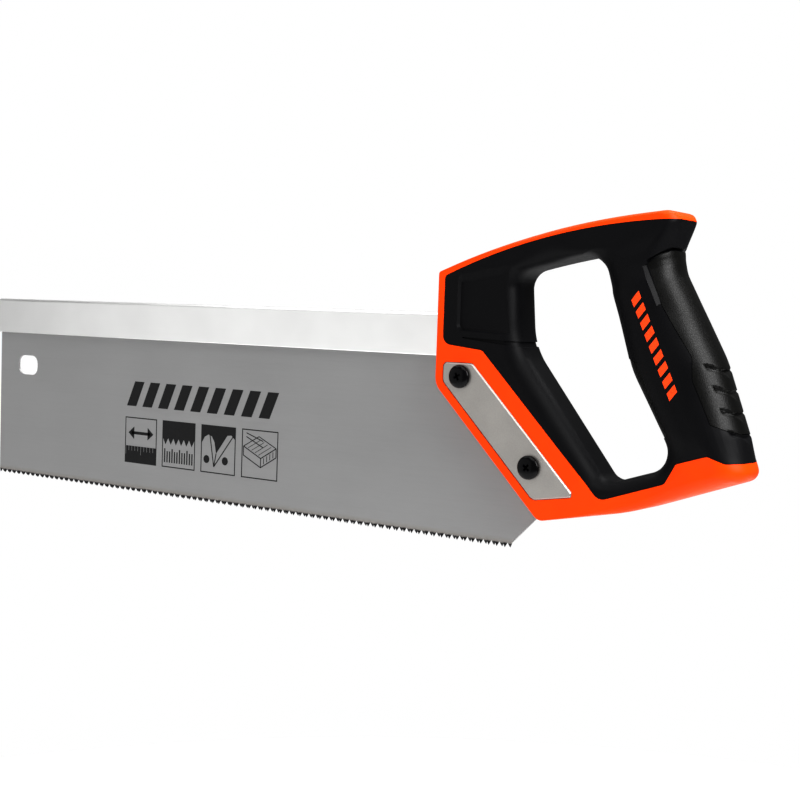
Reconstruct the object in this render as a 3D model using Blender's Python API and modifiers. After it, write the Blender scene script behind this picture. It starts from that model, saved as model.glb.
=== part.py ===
"""Back saw with a closed hard and soft moulded handle, 1:1, +Z up.

The saw stands as it is used: teeth down, toe to -X, handle to +X, blade in the XZ plane.
The sizes below are millimetres, measured from the toe end of the tooth line, and MM turns
them into metres. The empty that carries the pieces moves the origin into the middle of the grip.
"""

from math import acos, atan2, ceil, cos, hypot, pi, radians, sin, sqrt, tan
from typing import NamedTuple

import bmesh
import bpy
from mathutils import Matrix, Vector

MM = 0.001
CLEARANCE = 0.3  # between two pieces that touch

# Blade
TOOTH_LINE_LENGTH = 355.6
TEETH_PER_INCH = 12
FLEAM_ANGLE = radians(25)  # slant of each gullet, left and right in turn
FLANK_ANGLE = radians(30)  # from upright, half the angle of a gullet
TOOTH_SET = 0.22
BLADE_THICKNESS = 0.9
TANG_LENGTH = 26.4  # behind the heel, inside the handle
TANG_HEIGHT = 42.0
TANG_CORNER = 4.0
HANG_HOLE_SETBACK = 24.5  # from the toe
HANG_HOLE_DROP = 18.5  # below the back
HANG_HOLE_SIZE = (16.7, 11.2)
HANG_HOLE_CORNER = 4.5

# Folded back
BACK_HEIGHT = 19.6
BACK_SHEET = 2.25
BACK_BEND = 2.0  # outer radius of the fold
BACK_ROOF = 2.3
BACK_GRIPPED = 18.0  # length that the handle holds

# Handle outline
CROWN_HEIGHT = 146.0
CROWN_RISE = 25.6  # above the top of the front edge
FRONT_EDGE_LENGTH = 48.9
BACK_DROP = 17.8  # from the top of the front edge down to the top of the back
HEEL_OVERLAP = 35.9  # from the heel to where the mitre edge would meet the tooth line
NOSE_HEIGHT = 15.9
GRIP_REACH = 110.0  # from the front edge to the middle of the grip
GRIP_RAISE = 7.05  # middle of the grip, above the middle of the handle
WEB_LENGTH = 38.2  # from the front edge to the loop
CHEEK_HALF = 12.0
GRIP_HALF = 15.0

# Soft skin and pads
SKIN = 4.0
EDGE_COVER = 1.0  # depth of the skeleton below the hard edges
FRONT_RIM = 3.7
BAND_WIDTH = 7.55  # hard band between a plate and the soft skin
PAD = 2.5
PANEL_DEPTH = 1.6
PANEL_MARGIN = 9.0

# Side plates
PLATE_THICKNESS = 1.5
PLATE_PROUD = 0.4
PLATE_RIM = 3.1  # hard rim between a plate and the mitre edge
PLATE_WIDTH = 17.0
PLATE_CHAMFER = 0.35

# Screws and barrel nuts
SCREW_SETBACK = (13.2, 5.6)  # upper one behind the front edge, lower one ahead of the nose
HEAD_DIAMETER = 10.3
HEAD_HEIGHT = 2.4
HEAD_EDGE = 0.8
SHANK_DIAMETER = 5.0
BARREL_DIAMETER = 8.0
BARREL_LENGTH = 18.0
NUT_ROOF = 1.0  # from the bore's blind end to the underside of the head
RECESS_SPAN = 5.4
RECESS_WIDTH = 1.2
RECESS_DEPTH = 1.6
RECESS_TURN = radians(24)

# Fineness
CURVE_TOLERANCE = 0.22
ROUND_STEPS = 3
TURNED_STEPS = 20
SMOOTH_ANGLE = radians(35)

# Places that follow from the sizes above
TOOTH_PITCH = 25.4 / TEETH_PER_INCH
TOOTH_COUNT = 2 * round(TOOTH_LINE_LENGTH / TOOTH_PITCH / 2)
FLEAM_SHIFT = tan(FLEAM_ANGLE) * BLADE_THICKNESS / 2
GULLET_LINE = (TOOTH_LINE_LENGTH / TOOTH_COUNT / 2 + FLEAM_SHIFT) / tan(FLANK_ANGLE)
BLADE_HALF = BLADE_THICKNESS / 2
BACK_HALF = BLADE_HALF + CLEARANCE + BACK_SHEET
FRONT_EDGE_TOP = CROWN_HEIGHT - CROWN_RISE
FRONT_EDGE_FOOT = FRONT_EDGE_TOP - FRONT_EDGE_LENGTH
BACK_TOP = FRONT_EDGE_TOP - BACK_DROP
BLADE_DEPTH = BACK_TOP - BACK_HEIGHT  # from the tooth line to the underside of the back
BLADE_TOP = BACK_TOP - BACK_ROOF - CLEARANCE
MITRE_SUM = TOOTH_LINE_LENGTH + HEEL_OVERLAP  # x + z along the mitre edge
NOSE = MITRE_SUM - NOSE_HEIGHT
FRONT = MITRE_SUM - FRONT_EDGE_FOOT
BACK_END = FRONT + BACK_GRIPPED
GRIP = FRONT + GRIP_REACH
GRIP_HEIGHT = (CROWN_HEIGHT + NOSE_HEIGHT) / 2 + GRIP_RAISE
WALL = FRONT + WEB_LENGTH
PLATE_LOW_SUM = MITRE_SUM + PLATE_RIM * sqrt(2)
PLATE_HIGH_SUM = PLATE_LOW_SUM + PLATE_WIDTH * sqrt(2)
BAND_SUM = PLATE_HIGH_SUM + BAND_WIDTH * sqrt(2)
PLATE_FACE = CHEEK_HALF + PLATE_PROUD
HEAD_SEAT = PLATE_FACE + CLEARANCE
REACH = 2 * GRIP_HALF  # half depth of a cutter that passes right through


class Corner(NamedTuple):
    x: float
    z: float
    radius: float = 0.0


class Section(NamedTuple):
    """Cross-section of the handle, from its outer edge to the loop."""

    half: float
    outer_round: float
    inner_round: float
    cover: float  # depth of the skeleton below the surface at the outer edge


FLAT = Section(CHEEK_HALF, 1.2, 8.0, EDGE_COVER)
CROWN = Section(CHEEK_HALF, 2.5, 8.0, EDGE_COVER)
HORN = Section(CHEEK_HALF, 9.0, 10.0, 1.6)
NECK = Section((CHEEK_HALF + GRIP_HALF) / 2, 12.0, 13.0, SKIN)
PALM = Section(GRIP_HALF, 17.0, 15.0, SKIN)
BUTT = Section((CHEEK_HALF + GRIP_HALF) / 2, 11.0, 12.0, 1.6)
BASE = Section(CHEEK_HALF, 3.0, 7.5, EDGE_COVER)


def between(first, last, share):
    """A plain corner on the straight line between two corners."""
    return Corner(first.x + (last.x - first.x) * share, first.z + (last.z - first.z) * share)


# The outer outline and the loop, corner by corner, with the section that joins each pair.
FRONT_TOP_CORNER = Corner(FRONT, FRONT_EDGE_TOP, 1.5)
FRONT_FOOT_CORNER = Corner(FRONT, FRONT_EDGE_FOOT, 8.0)
NOSE_CORNER = Corner(NOSE, NOSE_HEIGHT, 5.0)
PALM_SWELL = Corner(GRIP + 20.5, GRIP_HEIGHT - 1, 50)
BUTT_CORNER = Corner(GRIP + 35.6, NOSE_HEIGHT + 25.7, 4.5)
LOOP_FRONT_TOP = Corner(WALL, CROWN_HEIGHT - 24.7, 8)
LOOP_BACK_TOP = Corner(GRIP - 32.4, CROWN_HEIGHT - 16.2, 9)
LOOP_GRIP = Corner(GRIP - 18.2, GRIP_HEIGHT - 7, 40)
LOOP_BUTT = Corner(GRIP + 5, NOSE_HEIGHT + 28.1, 9)
LOOP_FOOT = Corner(NOSE + 27.9, NOSE_HEIGHT + 18.6, 7)
LOOP_WALL_FOOT = Corner(WALL + 2.0, FRONT_EDGE_FOOT + 17.0, 30)
RING = (
    (FRONT_TOP_CORNER, LOOP_FRONT_TOP, FLAT),
    (Corner(FRONT + 51.9, CROWN_HEIGHT - 5.1, 370), between(LOOP_FRONT_TOP, LOOP_BACK_TOP, 0.45), CROWN),
    (Corner(GRIP - 0.5, CROWN_HEIGHT, 14), between(LOOP_FRONT_TOP, LOOP_BACK_TOP, 0.75), CROWN),
    (Corner(GRIP + 4.2, CROWN_HEIGHT - 3.6, 1.2), LOOP_BACK_TOP, HORN),
    (Corner(GRIP - 0.5, CROWN_HEIGHT - 15.4, 2), between(LOOP_BACK_TOP, LOOP_GRIP, 0.19), NECK),
    (Corner(GRIP + 1.5, CROWN_HEIGHT - 24.5, 15), between(LOOP_BACK_TOP, LOOP_GRIP, 0.38), PALM),
    (PALM_SWELL, LOOP_GRIP, PALM),
    (Corner(GRIP + 31.6, NOSE_HEIGHT + 41.1, 30), between(LOOP_GRIP, LOOP_BUTT, 0.57), PALM),
    (BUTT_CORNER, LOOP_BUTT, BUTT),
    (Corner(GRIP - 13.7, NOSE_HEIGHT + 8.3, 90), between(LOOP_BUTT, LOOP_FOOT, 0.65), BASE),
    (NOSE_CORNER, LOOP_FOOT, FLAT),
    (between(NOSE_CORNER, FRONT_FOOT_CORNER, 0.5), between(LOOP_FOOT, LOOP_WALL_FOOT, 0.5), FLAT),
    (FRONT_FOOT_CORNER, LOOP_WALL_FOOT, FLAT),
)

# Where the soft skin shows: the whole loop and grip, inside the hard edges.
BEHIND = GRIP + 60
SOFT_ZONE = (
    Corner(FRONT + FRONT_RIM, FRONT_EDGE_TOP - 0.9, 2),
    Corner(FRONT + 56.9, CROWN_HEIGHT - 3.9, 284),
    Corner(GRIP + 7, CROWN_HEIGHT - 3.6),
    Corner(BEHIND, CROWN_HEIGHT - 3.6),
    Corner(BEHIND, NOSE_HEIGHT + 34.3),
    Corner(GRIP + 27.5, NOSE_HEIGHT + 32.0, 3),
    Corner(GRIP + 20.5, NOSE_HEIGHT + 34.5, 2),
    Corner(GRIP + 7, NOSE_HEIGHT + 30.2, 2),
    Corner(GRIP + 2.5, NOSE_HEIGHT + 21.8, 3),
    Corner(BAND_SUM - NOSE_HEIGHT - 11.9, NOSE_HEIGHT + 11.9, 5),
    Corner(BAND_SUM - FRONT_EDGE_FOOT - 14.9, FRONT_EDGE_FOOT + 14.9, 3),
    Corner(FRONT + FRONT_RIM, FRONT_EDGE_FOOT + 17.2, 4),
)
PALM_ZONE = (
    Corner(GRIP - 9.4, CROWN_HEIGHT - 21.4, 1),
    Corner(GRIP - 1.6, CROWN_HEIGHT - 15.7, 1),
    Corner(BEHIND, CROWN_HEIGHT - 15.7),
    Corner(BEHIND, NOSE_HEIGHT + 43.3),
    Corner(GRIP + 21.5, NOSE_HEIGHT + 45.4, 1.5),
    Corner(GRIP + 12.8, GRIP_HEIGHT - 9, 6),
    Corner(GRIP + 11.8, GRIP_HEIGHT, 4),
    Corner(GRIP - 2, GRIP_HEIGHT + 20, 8),
)
FINGER_ZONE = (
    Corner(GRIP - 26, GRIP_HEIGHT - 0.5),
    Corner(GRIP - 11.5, GRIP_HEIGHT - 3.2, 1.5),
    Corner(GRIP + 2.6, NOSE_HEIGHT + 40.6, 1.5),
    Corner(GRIP - 8, NOSE_HEIGHT + 35.6),
)
PANEL_ZONE = (
    Corner(FRONT + PANEL_MARGIN + 2.5, CROWN_HEIGHT - 30.2, 2),
    Corner(WALL - PANEL_MARGIN + 4.0, CROWN_HEIGHT - 24.7, 2),
    Corner(WALL - PANEL_MARGIN + 6.0, FRONT_EDGE_FOOT + 22, 1.5),
    Corner(FRONT + PANEL_MARGIN + 2.5, FRONT_EDGE_FOOT + 23.5, 3),
)
PLATE_OUTLINE = (
    Corner(FRONT + 3.6, FRONT_EDGE_FOOT + 9.7, 2),
    Corner(PLATE_HIGH_SUM - FRONT_EDGE_FOOT - 9.7, FRONT_EDGE_FOOT + 9.7, 3),
    Corner(NOSE + 14.4, PLATE_HIGH_SUM - NOSE - 14.4, 1.2),
    Corner(NOSE + 14.4, NOSE_HEIGHT + 11.8, 1),
    Corner(PLATE_LOW_SUM - NOSE_HEIGHT - 8.7, NOSE_HEIGHT + 8.7, 4),
    Corner(FRONT + 3.6, PLATE_LOW_SUM - FRONT - 3.6, 4),
)
TANG_OUTLINE = (
    Corner(TOOTH_LINE_LENGTH, GULLET_LINE),
    Corner(TOOTH_LINE_LENGTH + TANG_LENGTH, GULLET_LINE + TANG_LENGTH, TANG_CORNER),
    Corner(TOOTH_LINE_LENGTH + TANG_LENGTH, TANG_HEIGHT, TANG_CORNER),
    Corner(BACK_END, TOOTH_LINE_LENGTH + TANG_LENGTH + TANG_HEIGHT - BACK_END),
    Corner(BACK_END, BLADE_TOP),
    Corner(0.0, BLADE_TOP),
)
SCREW_SUM = (PLATE_LOW_SUM + PLATE_HIGH_SUM) / 2
SCREWS = {
    "upper": Vector((FRONT + SCREW_SETBACK[0], SCREW_SUM - FRONT - SCREW_SETBACK[0])),
    "lower": Vector((NOSE - SCREW_SETBACK[1], SCREW_SUM - NOSE + SCREW_SETBACK[1])),
}


# ---------------------------------------------------------------- outlines


def arc(previous, corner, following, reach):
    """Points of the fillet at a corner, whose tangent points lie at most reach from it."""
    here = Vector((corner.x, corner.z))
    inward = (here - Vector((previous.x, previous.z))).normalized()
    onward = (Vector((following.x, following.z)) - here).normalized()
    turn = atan2(inward.cross(onward), inward.dot(onward))
    if corner.radius == 0 or abs(turn) < 1e-3:
        return [here]
    radius = reach / tan(abs(turn) / 2)
    side = 1 if turn > 0 else -1
    spoke = Vector((inward.y, -inward.x)) * side * radius
    centre = here - inward * reach - spoke
    tolerance = min(CURVE_TOLERANCE, radius / 2)
    steps = 2 * max(1, ceil(abs(turn) / acos(1 - tolerance / radius) / 4))
    return [centre + Matrix.Rotation(turn * i / steps, 2) @ spoke for i in range(steps + 1)]


def fillets(corners):
    """The points of each corner of a closed outline, with radii limited by the edges between them."""
    count = len(corners)
    reaches = []
    for i, corner in enumerate(corners):
        before, after = corners[i - 1], corners[(i + 1) % count]
        turn = atan2(after.z - corner.z, after.x - corner.x) - atan2(corner.z - before.z, corner.x - before.x)
        turn = abs((turn + pi) % (2 * pi) - pi)
        reaches.append(corner.radius * tan(turn / 2))
    scales = [1.0] * count
    for i, corner in enumerate(corners):
        after = (i + 1) % count
        edge = hypot(corners[after].x - corner.x, corners[after].z - corner.z)
        wanted = reaches[i] + reaches[after]
        if wanted > 0.98 * edge:
            scales[i] = min(scales[i], 0.98 * edge / wanted)
            scales[after] = min(scales[after], 0.98 * edge / wanted)
    return [
        arc(corners[i - 1], corners[i], corners[(i + 1) % count], reaches[i] * scales[i])
        for i in range(count)
    ]


def outline(corners, growth=0.0):
    """A closed outline as points, grown outwards by a distance along its normals."""
    points = [point for fillet in fillets(corners) for point in fillet]
    if growth == 0:
        return points
    count = len(points)
    area = sum(points[i - 1].cross(points[i]) for i in range(count))
    side = 1 if area > 0 else -1
    grown = []
    for i, point in enumerate(points):
        before = (point - points[i - 1]).normalized()
        after = (points[(i + 1) % count] - point).normalized()
        normal = Vector((before.y + after.y, -before.x - after.x)).normalized() * side
        lean = normal.dot(Vector((before.y, -before.x)) * side)
        grown.append(point + normal * growth / lean)
    return grown


def circle(centre, radius, steps=TURNED_STEPS):
    """Points of a circle in the XZ plane."""
    return [
        Vector((centre.x + radius * cos(2 * pi * i / steps), centre.y + radius * sin(2 * pi * i / steps)))
        for i in range(steps)
    ]


# ---------------------------------------------------------------- meshes

STAND = Matrix(((1, 0, 0, 0), (0, 0, 1, 0), (0, 1, 0, 0), (0, 0, 0, 1)))  # flat outline into XZ
ALONG_BLADE = Matrix(((0, 0, 1, 0), (1, 0, 0, 0), (0, 1, 0, 0), (0, 0, 0, 1)))  # flat outline into YZ


def finish_mesh(name, bm, collection):
    """Closes a bmesh given in millimetres into an object in metres."""
    bmesh.ops.remove_doubles(bm, verts=bm.verts, dist=1e-3)
    bmesh.ops.recalc_face_normals(bm, faces=bm.faces)
    bmesh.ops.scale(bm, vec=(MM, MM, MM), verts=bm.verts)
    mesh = bpy.data.meshes.new(name)
    bm.to_mesh(mesh)
    bm.free()
    placed = bpy.data.objects.new(name, mesh)
    placed.parent = bpy.data.objects["grip_centre"]
    collection.objects.link(placed)
    if collection.name.endswith("cutters"):
        placed.hide_render = True
        placed.display_type = "WIRE"
    return placed


def prism(name, points, low, high, collection, stand=STAND):
    """A flat outline stood in the XZ plane, thick from low to high along Y, or stood another way."""
    curve = bpy.data.curves.new(name, "CURVE")
    curve.dimensions = "2D"
    curve.fill_mode = "BOTH"
    curve.extrude = (high - low) / 2
    spline = curve.splines.new("POLY")
    spline.points.add(len(points) - 1)
    spline.use_cyclic_u = True
    for spline_point, point in zip(spline.points, points):
        spline_point.co = (point.x, point.y, 0, 1)
    flat = bpy.data.objects.new(name + "_outline", curve)
    bpy.context.scene.collection.objects.link(flat)
    bpy.context.view_layer.update()
    mesh = bpy.data.meshes.new_from_object(flat.evaluated_get(bpy.context.evaluated_depsgraph_get()))
    bm = bmesh.new()
    bm.from_mesh(mesh)
    bpy.data.objects.remove(flat)
    bpy.data.curves.remove(curve)
    bpy.data.meshes.remove(mesh)
    bm.transform(stand @ Matrix.Translation((0, 0, (low + high) / 2)))
    return finish_mesh(name, bm, collection)


def turned(name, profile, centre, side, collection):
    """A profile of (radius, distance) pairs spun round an axis along Y; side is -1 left, 1 right."""
    bm = bmesh.new()
    corners = [bm.verts.new((radius, 0, distance)) for radius, distance in profile]
    for first, last in zip(corners, corners[1:]):
        bm.edges.new((first, last))
    bmesh.ops.scale(bm, vec=(MM, MM, MM), verts=bm.verts)
    mesh = bpy.data.meshes.new(name)
    bm.to_mesh(mesh)
    bm.free()
    placed = bpy.data.objects.new(name, mesh)
    placed.parent = bpy.data.objects["grip_centre"]
    placed.location = (centre.x * MM, 0, centre.y * MM)
    placed.rotation_euler = (-side * pi / 2, 0, 0)
    collection.objects.link(placed)
    screw = placed.modifiers.new("turned", "SCREW")
    screw.steps = screw.render_steps = TURNED_STEPS
    screw.use_merge_vertices = True
    screw.merge_threshold = 1e-5
    screw.use_smooth_shade = True
    return placed


def combine(target, other, operation="DIFFERENCE"):
    """Adds an exact Boolean with another object."""
    boolean = target.modifiers.new(other.name, "BOOLEAN")
    boolean.operation = operation
    boolean.solver = "EXACT"
    boolean.object = other


def dress(piece, colour, roughness, metallic=0.0):
    """Gives a piece its own material."""
    material = bpy.data.materials.new(piece.name)
    material.use_nodes = True
    shader = material.node_tree.nodes["Principled BSDF"]
    shader.inputs["Base Color"].default_value = (*colour, 1)
    shader.inputs["Roughness"].default_value = roughness
    shader.inputs["Metallic"].default_value = metallic
    material.diffuse_color = (*colour, 1)
    piece.data.materials.append(material)
    return piece


# ---------------------------------------------------------------- handle body


def leg(corner_points, index):
    """The outline from the middle of one corner to the middle of the next, with its length shares."""
    here, following = corner_points[index], corner_points[(index + 1) % len(corner_points)]
    points = here[len(here) // 2 :] + following[: len(following) // 2 + 1]
    lengths = [0.0]
    for first, last in zip(points, points[1:]):
        lengths.append(lengths[-1] + (last - first).length)
    return points, [length / lengths[-1] for length in lengths]


def point_at(points, shares, share):
    """The point of a leg at a share of its length."""
    for i in range(1, len(points)):
        if share <= shares[i] + 1e-9:
            part = (share - shares[i - 1]) / (shares[i] - shares[i - 1])
            return points[i - 1].lerp(points[i], part)
    return points[-1]


def stations():
    """Pairs of an outer point and a loop point round the handle, each with its section."""
    outer = fillets([outer_corner for outer_corner, _, _ in RING])
    inner = fillets([inner_corner for _, inner_corner, _ in RING])
    for index, (_, _, section) in enumerate(RING):
        following = RING[(index + 1) % len(RING)][2]
        outer_points, outer_shares = leg(outer, index)
        inner_points, inner_shares = leg(inner, index)
        kept = [0.0]
        for share in sorted(outer_shares + inner_shares):
            if share - kept[-1] > 0.07 and share < 0.97:
                kept.append(share)
        for share in kept:
            ease = share * share * (3 - 2 * share)
            blended = Section(*(a + (b - a) * ease for a, b in zip(section, following)))
            yield (
                point_at(outer_points, outer_shares, share),
                point_at(inner_points, inner_shares, share),
                blended,
            )


def section_ring(start, end, section, inset_outer, inset):
    """Points round one section, set in from the handle's surface."""
    across = (end - start).normalized()
    first = start + across * inset_outer
    length = (end - start).length - inset_outer - inset
    half = section.half - inset
    outer_round = max(section.outer_round - inset_outer, 0.6)
    inner_round = max(section.inner_round - inset, 0.6)
    crowded = min(1.0, 0.94 * length / (outer_round + inner_round))
    ring = []
    for reach, base, direction in ((outer_round, 0.0, 1), (inner_round, length, -1)):
        reach *= crowded
        rise = min(reach, half - 0.5)
        angles = [pi / 2 * i / ROUND_STEPS for i in range(ROUND_STEPS + 1)]
        quarter = [
            (base + direction * reach * (1 - cos(angle)), half - rise + rise * sin(angle)) for angle in angles
        ]
        ring += quarter if direction > 0 else quarter[::-1]
    ring += [(along, -height) for along, height in reversed(ring)]
    return [(first.x + across.x * along, height, first.y + across.y * along) for along, height in ring]


def handle_body(name, collection, inset=0.0, follow_cover=False):
    """The loft of the handle round its loop; an inset body lies that deep under the skin."""
    bm = bmesh.new()
    rings = []
    for outer_point, inner_point, section in stations():
        inset_outer = section.cover - (SKIN - inset) if follow_cover else inset
        ring = section_ring(outer_point, inner_point, section, inset_outer, inset)
        rings.append([bm.verts.new(point) for point in ring])
    count = len(rings[0])
    for i, ring in enumerate(rings):
        for j in range(count):
            following = rings[i - 1]
            bm.faces.new((ring[j], ring[(j + 1) % count], following[(j + 1) % count], following[j]))
    bmesh.ops.triangulate(bm, faces=bm.faces)
    return finish_mesh(name, bm, collection)


# ---------------------------------------------------------------- sub-parts


def make_blade(parts, cutters):
    """Tooth plate: a flat sheet with its row of teeth, made thick, then filed and set."""
    bm = bmesh.new()
    pitch = TOOTH_LINE_LENGTH / TOOTH_COUNT
    gullets = [bm.verts.new((i * pitch, -BLADE_HALF, GULLET_LINE)) for i in range(TOOTH_COUNT + 1)]
    rest = [bm.verts.new((point.x, -BLADE_HALF, point.y)) for point in outline(TANG_OUTLINE)[1:]]
    toe_foot = bm.verts.new((0, -BLADE_HALF, GULLET_LINE))
    bm.faces.new(gullets + rest + [toe_foot])
    bmesh.ops.remove_doubles(bm, verts=bm.verts, dist=1e-3)
    row = sorted((v for v in bm.verts if abs(v.co.z - GULLET_LINE) < 1e-3), key=lambda v: v.co.x)
    tips = []
    for first, last in zip(row, row[1:]):
        tip = bm.verts.new(((first.co.x + last.co.x) / 2, -BLADE_HALF, 0))
        bm.faces.new((last, first, tip))
        tips.append(tip)
    made = bmesh.ops.extrude_face_region(bm, geom=bm.faces[:])["geom"]
    lifted = [item for item in made if isinstance(item, bmesh.types.BMVert)]
    bmesh.ops.translate(bm, vec=(0, BLADE_THICKNESS, 0), verts=lifted)
    for vert in bm.verts:
        place = vert.co.x / pitch
        side = 1 if vert.co.y > 0 else -1
        if abs(vert.co.z - GULLET_LINE) < 1e-3 and 0.5 < place < TOOTH_COUNT - 0.5:
            vert.co.x += side * FLEAM_SHIFT * (-1) ** round(place)
        elif abs(vert.co.z) < 1e-3:
            slant = side * (-1) ** int(place)
            vert.co.z = GULLET_LINE - (pitch / 2 - slant * FLEAM_SHIFT) / tan(FLANK_ANGLE)
            vert.co.y -= slant * side * TOOTH_SET
    blade = finish_mesh("saw_blade", bm, parts)
    middle_x, middle_z = HANG_HOLE_SETBACK, BLADE_DEPTH - HANG_HOLE_DROP
    half_x, half_z = HANG_HOLE_SIZE[0] / 2, HANG_HOLE_SIZE[1] / 2
    hang_hole = [
        Corner(middle_x + sx * half_x, middle_z + sz * half_z, HANG_HOLE_CORNER)
        for sx, sz in ((-1, -1), (1, -1), (1, 1), (-1, 1))
    ]
    combine(blade, prism("hang_hole_cutter", outline(hang_hole), -REACH, REACH, cutters))
    for place, centre in SCREWS.items():
        bore = circle(centre, BARREL_DIAMETER / 2 + CLEARANCE)
        combine(blade, prism(f"blade_bore_{place}_cutter", bore, -REACH, REACH, cutters))
    return dress(blade, (0.27, 0.27, 0.27), 0.45, 0.9)


def make_back(parts):
    """Folded channel over the top of the blade."""
    gap = BLADE_HALF + CLEARANCE
    section = [
        Corner(-BACK_HALF, BLADE_DEPTH),
        Corner(-gap, BLADE_DEPTH),
        Corner(-gap, BACK_TOP - BACK_ROOF),
        Corner(gap, BACK_TOP - BACK_ROOF),
        Corner(gap, BLADE_DEPTH),
        Corner(BACK_HALF, BLADE_DEPTH),
        Corner(BACK_HALF, BACK_TOP, BACK_BEND),
        Corner(-BACK_HALF, BACK_TOP, BACK_BEND),
    ]
    back = prism("back_spine", outline(section), 0, BACK_END, parts, ALONG_BLADE)
    return dress(back, (0.55, 0.55, 0.54), 0.3, 1.0)


def make_core(parts, cutters):
    """Hard moulding: full thickness along the edges, a skeleton under the soft skin."""
    core = handle_body("handle_core", parts)
    soft = prism("soft_zone_cutter", outline(SOFT_ZONE, CLEARANCE / 2), -REACH, REACH, cutters)
    combine(core, soft)
    combine(core, handle_body("skeleton_guide", cutters, SKIN, follow_cover=True), "UNION")
    slot = outline(TANG_OUTLINE, CLEARANCE)
    blade_room = BLADE_HALF + CLEARANCE
    combine(core, prism("blade_slot_cutter", slot, -blade_room, blade_room, cutters))
    back_room = (
        Corner(FRONT - REACH, BLADE_DEPTH - CLEARANCE),
        Corner(BACK_END + CLEARANCE, BLADE_DEPTH - CLEARANCE),
        Corner(BACK_END + CLEARANCE, BACK_TOP + CLEARANCE),
        Corner(FRONT - REACH, BACK_TOP + CLEARANCE),
    )
    half_room = BACK_HALF + CLEARANCE
    combine(core, prism("back_pocket_cutter", outline(back_room), -half_room, half_room, cutters))
    floor = PLATE_FACE - PLATE_THICKNESS - CLEARANCE
    for side, low, high in (("left", -REACH, -floor), ("right", floor, REACH)):
        seat = outline(PLATE_OUTLINE, CLEARANCE)
        combine(core, prism(f"plate_seat_{side}_cutter", seat, low, high, cutters))
    for place, centre in SCREWS.items():
        bore = circle(centre, BARREL_DIAMETER / 2 + CLEARANCE)
        combine(core, prism(f"core_bore_{place}_cutter", bore, -REACH, REACH, cutters))
    return dress(core, (1.0, 0.07, 0.0), 0.35)


def make_skin(name, zone, parts, cutters):
    """A soft pad let into the skin: the handle's own surface over a zone, one pad thick.

    The second object it returns is the room that the pad takes from the skin below it.
    """
    pad = handle_body(name, parts)
    keep = prism(f"{name}_zone_guide", outline(zone), -REACH, REACH, cutters)
    combine(pad, keep, "INTERSECT")
    combine(pad, handle_body(f"{name}_bed_cutter", cutters, PAD))
    room = prism(f"{name}_room_cutter", outline(zone, CLEARANCE), -REACH, REACH, cutters)
    combine(room, handle_body(f"{name}_room_floor_cutter", cutters, PAD + CLEARANCE))
    return pad, room


def make_overmould(parts, cutters, rooms):
    """Soft skin round the skeleton, with a shallow panel in each cheek of the web."""
    skin = handle_body("grip_overmould", parts)
    keep = prism("overmould_zone_guide", outline(SOFT_ZONE, -CLEARANCE / 2), -REACH, REACH, cutters)
    combine(skin, keep, "INTERSECT")
    combine(skin, handle_body("skeleton_cutter", cutters, SKIN - CLEARANCE, follow_cover=True))
    for room in rooms:
        combine(skin, room)
    floor = CHEEK_HALF - PANEL_DEPTH
    for side, low, high in (("left", -REACH, -floor), ("right", floor, REACH)):
        combine(skin, prism(f"panel_{side}_cutter", outline(PANEL_ZONE), low, high, cutters))
    return dress(skin, (0.012, 0.012, 0.013), 0.6)


def make_plate(side_name, side, bore_radius, parts, cutters):
    """Metal plate let into a cheek, with its edges broken and two screw holes."""
    outer, inner = side * PLATE_FACE, side * (PLATE_FACE - PLATE_THICKNESS)
    name = f"side_plate_{side_name}"
    plate = prism(name, outline(PLATE_OUTLINE), min(outer, inner), max(outer, inner), parts)
    edges = plate.modifiers.new("broken_edges", "BEVEL")
    edges.width = PLATE_CHAMFER * MM
    edges.segments = 1
    edges.limit_method = "ANGLE"
    edges.angle_limit = radians(60)
    for place, centre in SCREWS.items():
        bore = circle(centre, bore_radius)
        combine(plate, prism(f"{name}_{place}_cutter", bore, -REACH, REACH, cutters))
    return dress(plate, (0.4, 0.39, 0.37), 0.35, 0.9)


def head_profile():
    """Domed head from its crown to its seat, as radius and distance from the blade."""
    radius = HEAD_DIAMETER / 2
    rise = HEAD_HEIGHT - HEAD_EDGE
    steps = 5
    dome = [
        (radius * sin(pi / 2 * i / steps), HEAD_SEAT + HEAD_EDGE + rise * cos(pi / 2 * i / steps))
        for i in range(steps + 1)
    ]
    return dome + [(radius, HEAD_SEAT)]


def make_screw(place, centre, parts, cutters):
    """Screw from the left: domed head with a cross recess, shank into the barrel nut."""
    shank = SHANK_DIAMETER / 2
    bottom = HEAD_SEAT - BARREL_LENGTH - CLEARANCE
    profile = head_profile() + [(shank, HEAD_SEAT), (shank, bottom), (0, bottom)]
    screw = turned(f"screw_{place}", profile, centre, -1, parts)
    arm, wide = RECESS_SPAN / 2, RECESS_WIDTH / 2
    plus = [(arm, -wide), (arm, wide), (wide, wide), (wide, arm), (-wide, arm), (-wide, wide)]
    plus += [(-x, -z) for x, z in plus]
    points = [centre + Matrix.Rotation(RECESS_TURN, 2) @ Vector(point) for point in plus]
    top = HEAD_SEAT + HEAD_HEIGHT
    cross = prism(f"recess_{place}_cutter", points, -top - 1, -top + RECESS_DEPTH, cutters)
    combine(screw, cross)
    return dress(screw, (0.012, 0.012, 0.014), 0.2)


def make_nut(place, centre, parts):
    """Barrel nut from the right: the same domed head on a bored barrel."""
    barrel, bore = BARREL_DIAMETER / 2, SHANK_DIAMETER / 2 + CLEARANCE
    bottom = HEAD_SEAT - BARREL_LENGTH
    bore_end = HEAD_SEAT - NUT_ROOF
    profile = head_profile() + [(barrel, HEAD_SEAT), (barrel, bottom), (bore, bottom), (bore, bore_end)]
    profile.append((0, bore_end))
    nut = turned(f"nut_{place}", profile, centre, 1, parts)
    return dress(nut, (0.012, 0.012, 0.014), 0.2)


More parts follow.
